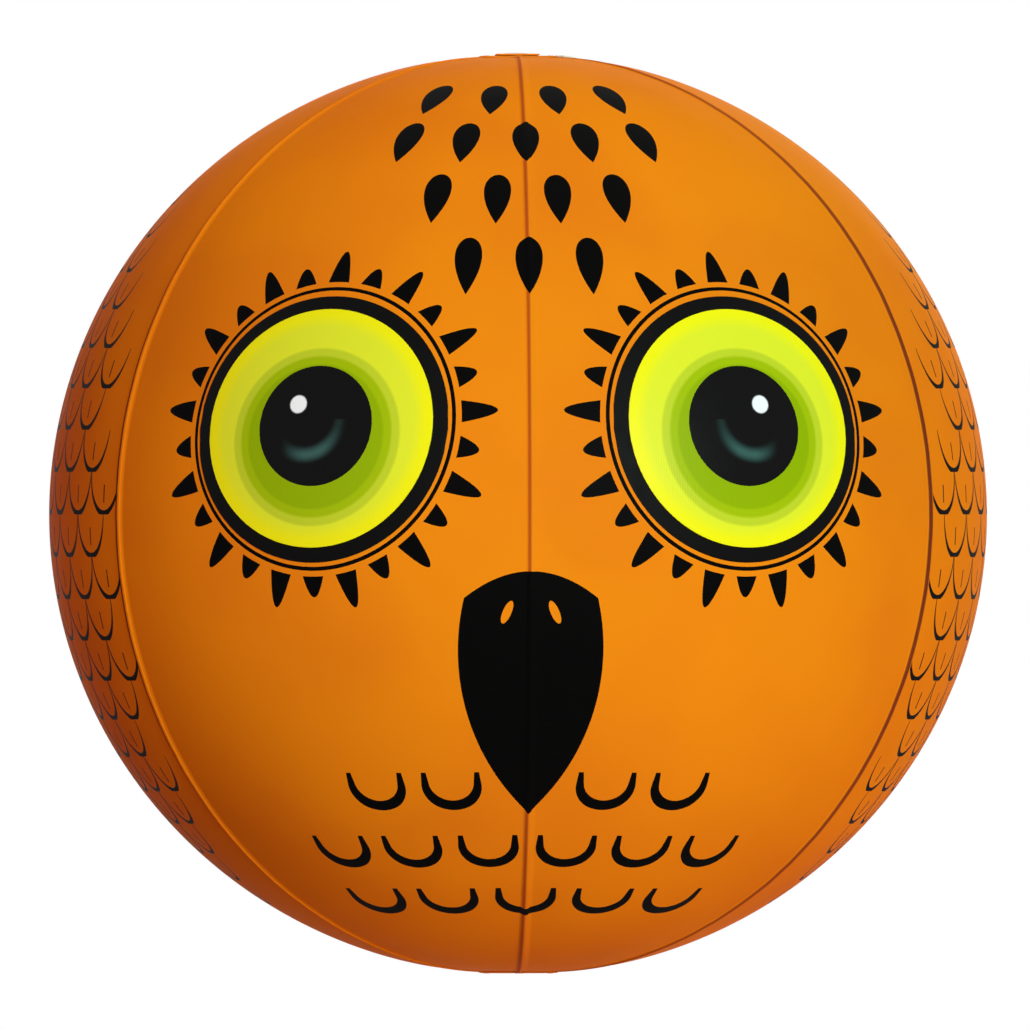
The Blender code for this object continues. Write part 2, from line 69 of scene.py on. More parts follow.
# %% Sizes of the ball, in metres
FILM = 0.0004
HALF_WIDTH = 0.305 - FILM
HALF_HEIGHT = 0.2995 - FILM
GORE_COUNT = 6
GORE_ANGLE = math.tau / GORE_COUNT
SEAM_DIP = 0.002
POLE_DIMPLE = 0.0025
POLE_DIMPLE_RADIUS = 0.040
LAP_WIDTH = 0.004
LAP_RAMP = 0.001
TIP_RADIUS = 0.012
PATCH_RADIUS = 0.028
EYE_AZIMUTH = math.radians(27.5)
EYE_LIFT = math.radians(11.0)
BACKING_RADIUS = 0.090
LENS_RADIUS = 0.080
TAB_WIDTH = 0.028
COLLAR_RADIUS = 0.015
GORE_NAMES = (
    "gore_front_right", "gore_side_right", "gore_back_right",
    "gore_back_left", "gore_side_left", "gore_front_left",
)
print("meridian in mm:", round(1000 * math.pi * (HALF_WIDTH + HALF_HEIGHT) / 2, 1))


# %% Places on the skin
def skin_normal(azimuth, lift):
    """The outward direction of the skin."""
    across = math.cos(lift) / HALF_WIDTH
    up = math.sin(lift) / HALF_HEIGHT
    return Vector((across * math.sin(azimuth), -across * math.cos(azimuth), up)).normalized()


def skin_point(azimuth, lift, height=0.0):
    """A point at a height over the inner face of the skin."""
    dip = SEAM_DIP * math.cos(GORE_COUNT * azimuth / 2) ** 4
    ring = (HALF_WIDTH - dip) * math.cos(lift)
    dimple = POLE_DIMPLE * math.exp(-((ring / POLE_DIMPLE_RADIUS) ** 2))
    z = HALF_HEIGHT * math.sin(lift) - math.copysign(dimple, lift)
    point = Vector((ring * math.sin(azimuth), -ring * math.cos(azimuth), z))
    return point + height * skin_normal(azimuth, lift)


print("front of the skin:", [round(value, 4) for value in skin_point(0.0, 0.0, FILM)])

# %% [markdown]
# ## Sums that become nodes
#
# Geometry and materials here follow formulas: where a gore lies, where a ray
# of print ends. Node by node that is slow to write and hard to read. A small
# class lets Python's own signs add the Math nodes, so that a line of code
# reads as the sum it stands for.


# %% Add a node
def put(tree, socket, value):
    """Link a formula or a socket to an input, or set the input's value."""
    if isinstance(value, Formula):
        value = value.socket
    if isinstance(value, bpy.types.NodeSocket):
        tree.links.new(value, socket)
    else:
        socket.default_value = value


def add(tree, kind, inputs=None, **settings):
    """Add a node, with its settings first and then its inputs by name or number."""
    node = tree.nodes.new(kind)
    for name, value in settings.items():
        setattr(node, name, value)
    for key, value in (inputs or {}).items():
        put(tree, node.inputs[key], value)
    return node


def by_node(operation, turned=False):
    """A method that sets one Math node on a formula and what stands beside it."""
    def method(formula, *others):
        values = (formula, *others)
        return formula.math(operation, *(values[::-1] if turned else values))
    return method


print("node helpers ready")


# %% A number that lives in a node tree
class Formula:
    """A number in a node tree that takes part in sums."""

    def __init__(self, tree, socket):
        self.tree = tree
        self.socket = socket

    def math(self, operation, *values, clamp=False):
        """One Math node on these values."""
        node = add(self.tree, "ShaderNodeMath", operation=operation, use_clamp=clamp)
        for socket, value in zip(node.inputs, values):
            put(self.tree, socket, value)
        return Formula(self.tree, node.outputs[0])

    __add__, __radd__ = by_node("ADD"), by_node("ADD", turned=True)
    __sub__, __rsub__ = by_node("SUBTRACT"), by_node("SUBTRACT", turned=True)
    __mul__, __rmul__ = by_node("MULTIPLY"), by_node("MULTIPLY", turned=True)
    __truediv__, __rtruediv__ = by_node("DIVIDE"), by_node("DIVIDE", turned=True)
    __abs__ = by_node("ABSOLUTE")
    sin, cos = by_node("SINE"), by_node("COSINE")
    arcsine, arccosine = by_node("ARCSINE"), by_node("ARCCOSINE")
    root, exponential = by_node("SQRT"), by_node("EXPONENT")
    nearest, fraction, ceiling = by_node("ROUND"), by_node("FRACT"), by_node("CEIL")
    sign = by_node("SIGN")
    # The lesser and the greater of two numbers
    low, high = by_node("MINIMUM"), by_node("MAXIMUM")
    # 1 where this number is less than the other, and 1 where it is more
    under, over = by_node("LESS_THAN"), by_node("GREATER_THAN")

    def __neg__(self):
        return self * -1.0

    def clamp(self):
        """This number, held between 0 and 1."""
        return self.math("ADD", self, 0.0, clamp=True)

    def rise(self, start, end):
        """0 before start, 1 after end, and a soft slope between them."""
        inputs = {"Value": self, "From Min": start, "From Max": end}
        node = add(self.tree, "ShaderNodeMapRange", inputs, interpolation_type="SMOOTHSTEP")
        return Formula(self.tree, node.outputs["Result"])


print("formula signs:", "+ - * /")


# %% Vectors, turns and lengths
def split(tree, vector):
    """The three numbers of a vector."""
    node = add(tree, "ShaderNodeSeparateXYZ", {0: vector})
    return [Formula(tree, output) for output in node.outputs]


def join(tree, x, y, z):
    """A vector of three numbers."""
    return add(tree, "ShaderNodeCombineXYZ", {0: x, 1: y, 2: z}).outputs[0]


def turn_of(y, x):
    """The angle of the point (x, y)."""
    return y.math("ARCTAN2", y, x)


def length(x, y):
    """The length of the side across a right angle."""
    return (x * x + y * y).root()


def skin_nodes(tree, azimuth, lift, height):
    """The point at a height over the skin, as a vector in the tree."""
    wave = (azimuth * (GORE_COUNT / 2)).cos()
    wave = wave * wave
    ring = (HALF_WIDTH - SEAM_DIP * wave * wave) * lift.cos()
    share = ring / POLE_DIMPLE_RADIUS
    dimple = POLE_DIMPLE * (-(share * share)).exponential()
    across = lift.cos() / HALF_WIDTH
    up = lift.sin() / HALF_HEIGHT
    normal_length = length(across, up)
    reach = ring + height * across / normal_length
    z = HALF_HEIGHT * lift.sin() - lift.sign() * dimple + height * up / normal_length
    return join(tree, reach * azimuth.sin(), -(reach * azimuth.cos()), z)


print("vector helpers ready")

# %% [markdown]
# ## Trees that grow a piece
#
# A Geometry Nodes tree is started with named inputs for its sizes. The piece
# is grown by a modifier, whose inputs are set by the sockets' identifiers.
# The result is copied into a plain mesh, because that is what travels well,
# and the modifier goes. Sheets start as a flat grid. Each point may keep its
# place on the sheet for the material to read, and then it moves to the ball.


# %% Start, bend and end a geometry tree
def start_tree(name, sizes):
    """A geometry tree, and a formula for each named size."""
    tree = bpy.data.node_groups.new(name, "GeometryNodeTree")
    face = tree.interface
    face.new_socket("Geometry", in_out="OUTPUT", socket_type="NodeSocketGeometry")
    face.new_socket("Material", in_out="INPUT", socket_type="NodeSocketMaterial")
    for label, value in sizes.items():
        kind = "NodeSocketInt" if isinstance(value, int) else "NodeSocketFloat"
        face.new_socket(label, in_out="INPUT", socket_type=kind).default_value = value
    entry = add(tree, "NodeGroupInput", name="Sizes")
    return tree, {label: Formula(tree, entry.outputs[label]) for label in sizes}


def flat_grid(tree, side, columns, rows):
    """A flat square grid about the origin, and formulas for x and y on it."""
    grid = add(tree, "GeometryNodeMeshGrid", {
        "Size X": side, "Size Y": side, "Vertices X": columns, "Vertices Y": rows,
    })
    x, y = split(tree, add(tree, "GeometryNodeInputPosition").outputs[0])[:2]
    return grid.outputs["Mesh"], x, y


def keep_sheet(tree, mesh, *place):
    """Store each point's place on its own sheet, as a vector for the materials."""
    node = add(tree, "GeometryNodeStoreNamedAttribute", {"Geometry": mesh, "Name": "sheet"},
               data_type="FLOAT_VECTOR")
    values = [item for item in node.inputs if item.name == "Value" and item.type == "VECTOR"]
    put(tree, values[0], join(tree, *place))
    return node.outputs["Geometry"]


def bend(tree, mesh, position, merge=0.0):
    """Move the points to the ball, and merge those that meet there if asked."""
    bent = add(tree, "GeometryNodeSetPosition", {"Geometry": mesh, "Position": position})
    if merge:
        bent = add(tree, "GeometryNodeMergeByDistance",
                   {"Geometry": bent.outputs[0], "Distance": merge})
    return bent.outputs[0]


def end_tree(tree, geometry):
    """Close a tree with plain geometry and its material."""
    real = add(tree, "GeometryNodeRealizeInstances", {"Geometry": geometry})
    material = tree.nodes["Sizes"].outputs["Material"]
    dressed = add(tree, "GeometryNodeSetMaterial",
                  {"Geometry": real.outputs[0], "Material": material})
    put(tree, add(tree, "NodeGroupOutput").inputs["Geometry"], dressed.outputs[0])
    return tree


MERGE = 0.00002
print("points merge within mm:", 1000 * MERGE)


# %% Grow a piece and dress it
def new_object(name, data=None):
    """An object at the origin, in the scene."""
    obj = bpy.data.objects.new(name, data or bpy.data.meshes.new(name))
    SCENE.collection.objects.link(obj)
    return obj


def plain_mesh(obj):
    """A mesh of the object as its modifiers leave it."""
    return bpy.data.meshes.new_from_object(obj.evaluated_get(bpy.context.evaluated_depsgraph_get()))


def soften(mesh, crisp):
    """Shade a mesh smooth, with corners crisp above an angle in degrees."""
    mesh.shade_smooth()
    mesh.set_sharp_from_angle(angle=math.radians(crisp))


def grow(name, tree, material, sizes=None, wall=0.0, bevel=0.0, cutter=None):
    """Grow a piece from a tree, and give it a wall, a bevel and a hole if asked."""
    obj = new_object(name)
    nodes = obj.modifiers.new("form", "NODES")
    nodes.node_group = tree
    asked = dict(sizes or {}, Material=material)
    for item in tree.interface.items_tree:
        if item.item_type == "SOCKET" and item.name in asked:
            nodes[item.identifier] = asked[item.name]
    if wall:
        film = obj.modifiers.new("wall", "SOLIDIFY")
        film.thickness = wall
        film.offset = 1.0
    if bevel:
        edge = obj.modifiers.new("edge", "BEVEL")
        edge.width = bevel
        edge.segments = 2
        edge.limit_method = "ANGLE"
        edge.angle_limit = math.radians(60.0)
    if cutter:
        cut = obj.modifiers.new("hole", "BOOLEAN")
        cut.object = cutter
        cut.operation = "DIFFERENCE"
        cut.solver = "EXACT"
    mesh = plain_mesh(obj)
    obj.modifiers.clear()
    obj.data = mesh
    soften(mesh, 40.0)
    return obj


def dress(piece, body, slot, *nodes):
    """Say what a piece rides on and which solids it stands for. The slot, its finish, is not used.
    """
    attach(piece, body)
    if nodes:
        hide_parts(*nodes)
    triangles = sum(len(face.vertices) - 2 for face in piece.data.polygons)
    print(f"{piece.name}: {triangles} triangles")


print("helpers for pieces ready")

# %% [markdown]
# ## The colours
#
# The film is a warm orange, the print is black, and the lens shows yellow
# and green. The values are the screen colours that the photograph has where
# the light falls full on them, so the lamps stay at a plain level and the
# colours are written as they look.


# %% Screen colours
def linear(level):
    """The linear value of a screen level from 0 to 255."""
    share = level / 255
    return share / 12.92 if share <= 0.04045 else ((share + 0.055) / 1.055) ** 2.4


def colour(red, green, blue):
    """A screen colour as a shader takes it."""
    return (linear(red), linear(green), linear(blue), 1.0)


ORANGE = colour(236, 138, 18)
ORANGE_DEEP = colour(229, 128, 20)
# Painted shade: the dark line beside the welds, darker still on the side seams
ORANGE_SEAM_SHADE = colour(150, 32, 32)
ORANGE_SEAM_SHADE_ASIDE = colour(78, 26, 24)
INK = colour(9, 9, 9)
INK_WORN = colour(30, 24, 18)
LIME = colour(222, 234, 48)
LIME_PALE = colour(240, 240, 20)
LIME_STEPS = (colour(190, 210, 45), colour(160, 190, 10), colour(143, 176, 5))
# Painted reflection and painted highlight on the lens: a teal crescent in the pupil and a white
# glint
TEAL_REFLECTION = colour(60, 100, 95)
GLINT_WHITE = colour(242, 252, 254)
MILK = colour(226, 220, 204)
MILK_DEEP = colour(206, 197, 176)
NICKEL = colour(206, 203, 196)
NICKEL_DULL = colour(176, 170, 158)
print("orange, linear:", [round(value, 3) for value in ORANGE[:3]])

# %% [markdown]
# ## How a finish starts and ends
#
# Each material is a Principled shader. Numbers that are the same all over
# are set on its own sockets. Only what varies gets nodes: a colour that
# drifts a little, a roughness with fine scuffs, and small bumps. The plain
# finishes of this object differ in their numbers alone, so one function with
# two shades, a varied roughness and a fine grain makes them all.


# %% Helpers for materials
def start_material(name, specular=0.5, metallic=0.0):
    """A material with its tree, its shader and the object's coordinates."""
    material = bpy.data.materials.new(name)
    material.use_nodes = True
    tree = material.node_tree
    shader = tree.nodes["Principled BSDF"]
    shader.inputs["Specular IOR Level"].default_value = specular
    shader.inputs["Metallic"].default_value = metallic
    return material, tree, shader, add(tree, "ShaderNodeTexCoord").outputs["Object"]


def noise(tree, place, scale, detail=2.0, roughness=0.5, stretch=None):
    """A noise in object space, from 0 to 1. A stretch turns it into streaks."""
    if stretch:
        place = add(tree, "ShaderNodeMapping", {"Vector": place, "Scale": stretch}).outputs[0]
    node = add(tree, "ShaderNodeTexNoise",
               {"Vector": place, "Scale": scale, "Detail": detail, "Roughness": roughness})
    return Formula(tree, node.outputs[0])


def mix(tree, share, first, second):
    """A colour between two, by a share from 0 to 1."""
    node = add(tree, "ShaderNodeMix", {0: share, 6: first, 7: second}, data_type="RGBA")
    return node.outputs[2]


def end_material(tree, shader, base, rough, *heights):
    """Give a shader its colour, its roughness and its bumps, each a height in metres."""
    put(tree, shader.inputs["Base Color"], base)
    put(tree, shader.inputs["Roughness"], rough)
    normal = None
    for height in heights:
        node = add(tree, "ShaderNodeBump", {"Height": height, "Distance": 1.0, "Strength": 1.0})
        if normal:
            put(tree, node.inputs["Normal"], normal)
        normal = node.outputs[0]
    put(tree, shader.inputs["Normal"], normal)


def make_plain(name, shades, share, spots, edge, dull, grain, **surface):
    """A finish with spots of a second shade, at most by a share, and a fine grain.

    Spots have a scale, a detail and a roughness, and an edge from start to
    end. Dull is the lowest roughness, its spread and its scale. Grain has a
    scale, a detail and a depth in metres."""
    material, tree, shader, place = start_material(name, **surface)
    base = mix(tree, noise(tree, place, *spots).rise(*edge) * share, *shades)
    lowest, spread, dull_scale = dull
    rough = lowest + spread * noise(tree, place, dull_scale, 3.0)
    *grain_kind, depth = grain
    end_material(tree, shader, base, rough, noise(tree, place, *grain_kind) * depth)
    return material


print("material helpers ready")

# %% [markdown]
# ## The print on the front
#
# The front film carries a bold black print that birds read as a face. Here it
# is a plain design: tapered rays round both eyes, a short beak, rows of
# flecks on the forehead and rows of cups on the breast. Flat ink has no
# thickness worth a mesh, so it is computed in the material. Distances over
# the ball are in metres, which keeps each stroke at its real width.


# %% Coordinates on the ball
def ball_coordinates(tree, place):
    """Azimuth, lift and the parts of the unit vector at a point of the skin."""
    unit = add(tree, "ShaderNodeVectorMath", {0: place}, operation="NORMALIZE").outputs[0]
    x, y, z = split(tree, unit)
    return turn_of(x, -y), z.arcsine(), x, y, z


def dot(parts, vector):
    """How far a unit vector points along a fixed one."""
    return parts[0] * vector.x + parts[1] * vector.y + parts[2] * vector.z


NEARLY_ONE = 0.999999
EYE_RIGHT = Vector((math.cos(EYE_AZIMUTH), math.sin(EYE_AZIMUTH), 0.0))
EYE_CENTRE = Vector((
    math.cos(EYE_LIFT) * math.sin(EYE_AZIMUTH), -math.cos(EYE_LIFT) * math.cos(EYE_AZIMUTH),
    math.sin(EYE_LIFT),
))


def eye_coordinates(x, y, z):
    """Distance and turn about the nearer eye, the same on both sides."""
    parts = (abs(x), y, z)
    along = dot(parts, EYE_CENTRE)
    distance = HALF_WIDTH * along.low(NEARLY_ONE).arccosine()
    return distance, turn_of(dot(parts, EYE_CENTRE.cross(EYE_RIGHT)), dot(parts, EYE_RIGHT))


print("the right eye looks along:", [round(value, 3) for value in EYE_CENTRE])

# %% Rays and beak
RAY_COUNT = 26
RAY_START = 0.0985
RAY_LONG = 0.122
RAY_SHORT = 0.112
RAY_WIDTH = 0.0150
RING_RADIUS = 0.0935
RING_HALF = 0.0013
BEAK_ARC_X = 0.095
BEAK_ARC_Z = 0.085
BEAK_ARC_RADIUS = 0.142
BEAK_TOP = -0.036
BEAK_ARCH = 9.0
NOSTRIL_X = 0.0155
NOSTRIL_Z = 0.062
NOSTRIL_RADIUS = 0.0072
NOSTRIL_NARROW = 2.4
NOSTRIL_SLANT = 0.9


def eye_rays(distance, turn):
    """Tapered rays round an eye, long and short in turn, and a thin ring inside them."""
    count = (turn / math.tau + 1.0) * RAY_COUNT
    odd = (count / 2).fraction().over(0.5)
    end = RAY_LONG + odd * (RAY_SHORT - RAY_LONG)
    across = abs(count.fraction() - 0.5) * (math.tau / RAY_COUNT) * distance
    left = ((end - distance) / (end - RAY_START)).high(0.0)
    ring = abs(distance - RING_RADIUS).under(RING_HALF)
    return (across.under(left.root() * RAY_WIDTH / 2) * distance.over(RAY_START)).high(ring)


def beak(x, z):
    """A short beak: a pointed oval with an arched top and two bright nostrils."""
    oval = length(abs(x) + BEAK_ARC_X, z + BEAK_ARC_Z).under(BEAK_ARC_RADIUS)
    top = (z + x * x * BEAK_ARCH).under(BEAK_TOP)
    up = z + NOSTRIL_Z
    slanted = (abs(x) - NOSTRIL_X) * NOSTRIL_NARROW + up * NOSTRIL_SLANT
    return oval * top * (1.0 - length(slanted, up).under(NOSTRIL_RADIUS))


print("rays to an eye:", RAY_COUNT)

# %% Flecks and cups
FLECK_ROWS = (math.radians(32.0), math.radians(10.5), 0.040)
FLECK_LENGTH = 0.044
FLECK_WIDTH = 0.0235
FLECK_MIDDLE = math.radians(48.0)
FLECK_REACH = math.radians(17.0)
FLECK_WIDEST = math.radians(53.0)
FLECK_HALF_ROW = 0.100
FLECK_TAPER = 0.135
CUP_ROWS = (math.radians(-36.0), math.radians(10.0), 0.050)
CUP_RADIUS = 0.0170
CUP_THIN = 0.0016
CUP_THICKER = 0.0026
CUP_SPAN = 0.026
CUP_TIP = 0.0095
CUP_RAISED = 0.005
CUP_MIDDLE = math.radians(-46.0)
CUP_REACH = math.radians(13.0)
CUP_HALF_ROW = 0.130
CLEAR_OF_BEAK = 0.040
BELOW_BEAK = math.radians(-41.0)


def print_rows(azimuth, lift, first, step, pitch):
    """Cells in rows on the ball, every other row set over by half a cell.

    Gives the place in the cell, across and up, and the cell's own distance
    from the middle and lift."""
    row = ((lift - first) / step).nearest()
    centre = first + row * step
    odd = abs((row / 2).fraction() - 0.5).under(0.25)
    reach = azimuth * HALF_WIDTH * centre.cos()
    shift = odd * (pitch / 2)
    cell = ((reach - shift) / pitch).nearest() * pitch + shift
    return reach - cell, (lift - centre) * HALF_WIDTH, abs(cell), centre


def flecks(azimuth, lift):
    """Drops on the forehead, points downwards."""
    across, up, off, centre = print_rows(azimuth, lift, *FLECK_ROWS)
    share = ((up + FLECK_LENGTH / 2) / FLECK_LENGTH).clamp()
    half = FLECK_WIDTH * share * (1.0 - share).root()
    limit = FLECK_HALF_ROW - abs(centre - FLECK_WIDEST) * FLECK_TAPER
    inside = abs(centre - FLECK_MIDDLE).under(FLECK_REACH)
    return abs(across).under(half) * off.under(limit) * inside


def cups(azimuth, lift):
    """Open cups on the breast, thick below and thin at their tips."""
    across, up, off, centre = print_rows(azimuth, lift, *CUP_ROWS)
    up = up - CUP_RAISED
    ring = length(across, up.low(0.0))
    stroke = CUP_THIN + CUP_THICKER * (1.0 - ((up + CUP_RADIUS) / CUP_SPAN).clamp())
    inside = abs(centre - CUP_MIDDLE).under(CUP_REACH) * off.under(CUP_HALF_ROW)
    beside = off.over(CLEAR_OF_BEAK).high(centre.under(BELOW_BEAK))
    return abs(ring - CUP_RADIUS).under(stroke) * up.under(CUP_TIP) * inside * beside


print("flecks stand mm apart:", 1000 * FLECK_ROWS[2], "and cups:", 1000 * CUP_ROWS[2])

# %% [markdown]
# On the side gores the print is finer: rows of scales in a thin line, each
# with a short quill, as on a folded wing. A scale is drawn or left out whole,
# by the place of its own middle in an upright oval, so none is cut through.
# The back gores stay bare.


# %% Scales on the sides
SCALE_ANGLE = math.radians(7.5)
SCALE_ROW = math.radians(5.2)
SCALE_LINE = 0.0010
LEAF_WIDTH = math.radians(28.0)
LEAF_HEIGHT = math.radians(52.0)
LEAF_DROP = math.radians(2.5)


def scales(azimuth, lift):
    """Thin scales with a quill, in an upright oval on the side gores."""
    row = (lift / SCALE_ROW).ceiling()
    below = (row * SCALE_ROW - lift) * HALF_WIDTH
    odd = abs((row / 2).fraction() - 0.5).under(0.25)
    turn = azimuth / SCALE_ANGLE - odd * 0.5
    cell = turn.nearest()
    wide = SCALE_ANGLE / 2 * HALF_WIDTH * lift.cos()
    deep = SCALE_ROW * HALF_WIDTH
    across = (turn - cell) * SCALE_ANGLE * HALF_WIDTH * lift.cos()
    rim = abs(length(across / wide, below / deep) - 0.97) * deep
    quill = abs(across).under(SCALE_LINE * 0.7)
    quill = quill * below.over(deep * 0.30) * below.under(deep * 0.72)
    from_middle = abs((cell + odd * 0.5) * SCALE_ANGLE) - math.pi / 2
    up = row * SCALE_ROW + LEAF_DROP
    leaf = length(from_middle / LEAF_WIDTH, up / LEAF_HEIGHT).under(1.0)
    stroke = SCALE_LINE * (0.55 + 1.5 * (below / deep).clamp())
    return rim.under(stroke).high(quill) * leaf


print("scale rows in the oval:", int(2 * LEAF_HEIGHT / SCALE_ROW))

# %% [markdown]
# ## The vinyl
#
# Blown-up film is smooth and softly glossy, with a faint orange-peel skin,
# long soft waves, scuffs that dull it and hair-fine fold lines from its box.
# Where two films are welded, the bar's tiny squares are pressed into the
# surface, and a darker line of painted shade lies beside the weld, wider and
# darker on the side seams and wider still on the left. The trees store each
# point's place on its own sheet: how far it is from the seam, how far along the
# seam, and a mark that is 1 beside a weld and 0 on the open face. So the shade
# line and the squares follow it.


# %% The vinyl finish
# The line of painted shade beside each weld: its offset, core and soft edge, and how much they grow
# on the side seams and on the left
LINE_OFF = 0.0008
LINE_OFF_LEFT = 0.0016
LINE_CORE = 0.0004
LINE_CORE_ASIDE = 0.0006
LINE_EDGE = 0.0014
LINE_EDGE_ASIDE = 0.0007
KNURL_PITCH = 0.0011
KNURL_DEPTH = 0.00005
PEEL_DEPTH = 0.000006
WAVE_DEPTH = 0.0006
CREASE_DEPTH = 0.00003


def film_colour(tree, place, x, seam, near):
    """Orange that drifts a little, with a line of painted shade beside each weld, wider and darker
    to the sides.
    """
    base = mix(tree, noise(tree, place, 7.0).rise(0.35, 0.7), ORANGE, ORANGE_DEEP)
    # Painted shade: darker and wider on the side seams, wider and shifted on the left
    aside = abs(x)
    left = (-x).high(0.0)
    core = LINE_CORE + aside * LINE_CORE_ASIDE + left * LINE_CORE_ASIDE
    edge = LINE_EDGE + aside * LINE_EDGE_ASIDE + left * LINE_EDGE_ASIDE
    line = near * (1.0 - abs(seam + LINE_OFF + left * LINE_OFF_LEFT).rise(core, edge))
    seam_shade = mix(tree, aside, ORANGE_SEAM_SHADE, ORANGE_SEAM_SHADE_ASIDE)
    return mix(tree, line * (0.62 + 0.34 * aside), base, seam_shade)


def film_bumps(tree, place, seam, run, near):
    """Long waves with creases, and orange peel with the squares of the weld."""
    waves = noise(tree, place, 11.0, 1.0) * WAVE_DEPTH
    cells = add(tree, "ShaderNodeTexVoronoi", {"Vector": place, "Scale": 9.0},
                feature="DISTANCE_TO_EDGE")
    crease = (1.0 - Formula(tree, cells.outputs["Distance"]).rise(0.0, 0.02)) * CREASE_DEPTH
    peel = noise(tree, place, 700.0, 1.0) * PEEL_DEPTH
    weld = near * (1.0 - abs(seam).rise(0.0007, 0.0020))
    turns = math.tau / KNURL_PITCH
    knurl = (seam * turns).sin() * (run * turns).sin() * weld * KNURL_DEPTH
    return waves + crease, peel + knurl


def make_vinyl(name, print_kind="plain"):
    """Orange film, plain or with one of the prints."""
    material, tree, shader, place = start_material(name, specular=0.008)
    azimuth, lift, x, y, z = ball_coordinates(tree, place)
    sheet = add(tree, "ShaderNodeAttribute", attribute_name="sheet").outputs["Vector"]
    seam, run, near = split(tree, sheet)
    base = film_colour(tree, place, x, seam, near)
    rough = 0.46 + 0.16 * noise(tree, place, 60.0, 4.0, 0.6, stretch=(1.0, 1.0, 0.3))
    ink = None
    if print_kind == "front":
        ink = eye_rays(*eye_coordinates(x, y, z)).high(beak(x * HALF_WIDTH, z * HALF_HEIGHT))
        ink = ink.high(flecks(azimuth, lift)).high(cups(azimuth, lift))
    elif print_kind == "side":
        ink = scales(azimuth, lift)
    if ink:
        wear = noise(tree, place, 420.0, 3.0, 0.65).rise(0.62, 0.78)
        base = mix(tree, ink, base, mix(tree, wear * 0.35, INK, INK_WORN))
        rough = rough - 0.10 * ink
    end_material(tree, shader, base, rough, *film_bumps(tree, place, seam, run, near))
    return material


VINYL_FRONT = make_vinyl("vinyl_front_print", "front")
VINYL_SIDE = make_vinyl("vinyl_side_print", "side")
VINYL = make_vinyl("vinyl_plain")
print("nodes in the front print:", len(VINYL_FRONT.node_tree.nodes))

# %% [markdown]
# ## Six gores
#
# Each gore is a pointed strip of film that follows the ball from pole to
# pole. Its form is one rule, so a tree bends a grid by that rule. Columns are
# close at both edges, where the film climbs over its neighbour, and wide on
# the open face. Each weld stands up as a low ridge, steep on one side, which
# catches the light beside the line of painted shade drawn along it. Small
# puckers run off the welds, because the lap stretches less than the film
# beside it. They depend on the seam alone, so both films of a lap pucker
# together.

# %% The gore tree
EDGE_COLUMNS = 20
FACE_COLUMNS = 24
EDGE_ZONE = 0.012
EDGE_SHARE = 0.3
TIP_CROWDING = 0.3
RIDGE_OFF = 0.0002
PUCKER_PLACE = (62.0, 7.3)
GORE_SIZES = {
    "Gore": 0, "Rows": 260, "Lap width": LAP_WIDTH, "Lap ramp": LAP_RAMP,
    "Lap rise": 0.00042, "Ridge": 0.0011, "Ridge steep": 0.0028, "Ridge gentle": 0.0050,
    "Pucker": 0.00035, "Pucker reach": 0.011,
}


def puckers(tree, size, run, azimuth, ring, reach):
    """Small waves that fade away from a seam and from the poles."""
    along, between = PUCKER_PLACE
    spot = join(tree, run * along, (azimuth / GORE_ANGLE).nearest() * between, 0.0)
    wave = add(tree, "ShaderNodeTexNoise", {"Vector": spot, "Scale": 1.0, "Detail": 1.5})
    fade = (-(reach / size["Pucker reach"])).exponential() * ring.rise(0.045, 0.09)
    return (Formula(tree, wave.outputs[0]) - 0.5) * 2.0 * size["Pucker"] * fade


def weld_ridge(size, side, ring):
    """A low ridge on a weld, steep on one side, that sinks towards the poles."""
    steep = 1.0 - (-side).rise(0.0, size["Ridge steep"])
    gentle = 1.0 - side.rise(0.0, size["Ridge gentle"])
    return steep.low(gentle) * size["Ridge"] * (0.35 + 0.65 * ring.rise(0.035, 0.10))


def make_gore_tree():
    """A tree that bends a grid into one gore."""
    tree, size = start_tree("gore_of_film", GORE_SIZES)
    count = 2 * EDGE_COLUMNS + FACE_COLUMNS
    flat, u, v = flat_grid(tree, 1.0, count + 1, size["Rows"])
    column = (u + 0.5) * count
    course = v * 2.0
    tip_lift = math.acos(TIP_RADIUS / HALF_WIDTH)
    crowded = course * (1.0 + TIP_CROWDING) - course * course * course * TIP_CROWDING
    lift = crowded * tip_lift
    ring = lift.cos() * HALF_WIDTH
    width = ring * GORE_ANGLE
    half = size["Lap width"] / 2
    zone = (width * EDGE_SHARE).low(EDGE_ZONE)
    near = (column / EDGE_COLUMNS).low(1.0) * zone
    far = ((count - column) / EDGE_COLUMNS).low(1.0) * zone
    middle = ((column - EDGE_COLUMNS) / FACE_COLUMNS).clamp()
    across = near + middle * (width + half * 2.0 - zone * 2.0) + (zone - far) - half
    azimuth = (across / ring) + size["Gore"] * GORE_ANGLE
    run = lift * HALF_WIDTH
    beyond = across - width
    climb = beyond.rise(-half - size["Lap ramp"], -half) * size["Lap rise"]
    from_line = across - width * across.over(width / 2)
    reach = abs(across).low(abs(beyond))
    height = climb + weld_ridge(size, from_line - RIDGE_OFF, ring)
    height = height + puckers(tree, size, run, azimuth, ring, reach)
    kept = keep_sheet(tree, flat, from_line, run, 1.0 - reach.rise(0.006, 0.008))
    return end_tree(tree, bend(tree, kept, skin_nodes(tree, azimuth, lift, height)))


GORE_TREE = make_gore_tree()
print("nodes in the gore tree:", len(GORE_TREE.nodes))

# %% [markdown]
# ## The valve's place
#
# The valve sits behind the tab on a back gore. Its own axes help from here
# on: Z out of the skin, X away from the crown. One gore gets a hole for its
# sleeve, cut by a plain round tool that is thrown away afterwards.

# %% The valve's axes and the hole tool
TAB_TO_COLLAR = 0.004
SLEEVE_HOLE = 0.0074
VALVE_AZIMUTH = math.radians(150.0)
VALVE_RING = (TAB_WIDTH / 2 + TAB_TO_COLLAR + COLLAR_RADIUS) / math.sin(VALVE_AZIMUTH)
VALVE_LIFT = math.acos(VALVE_RING / HALF_WIDTH)


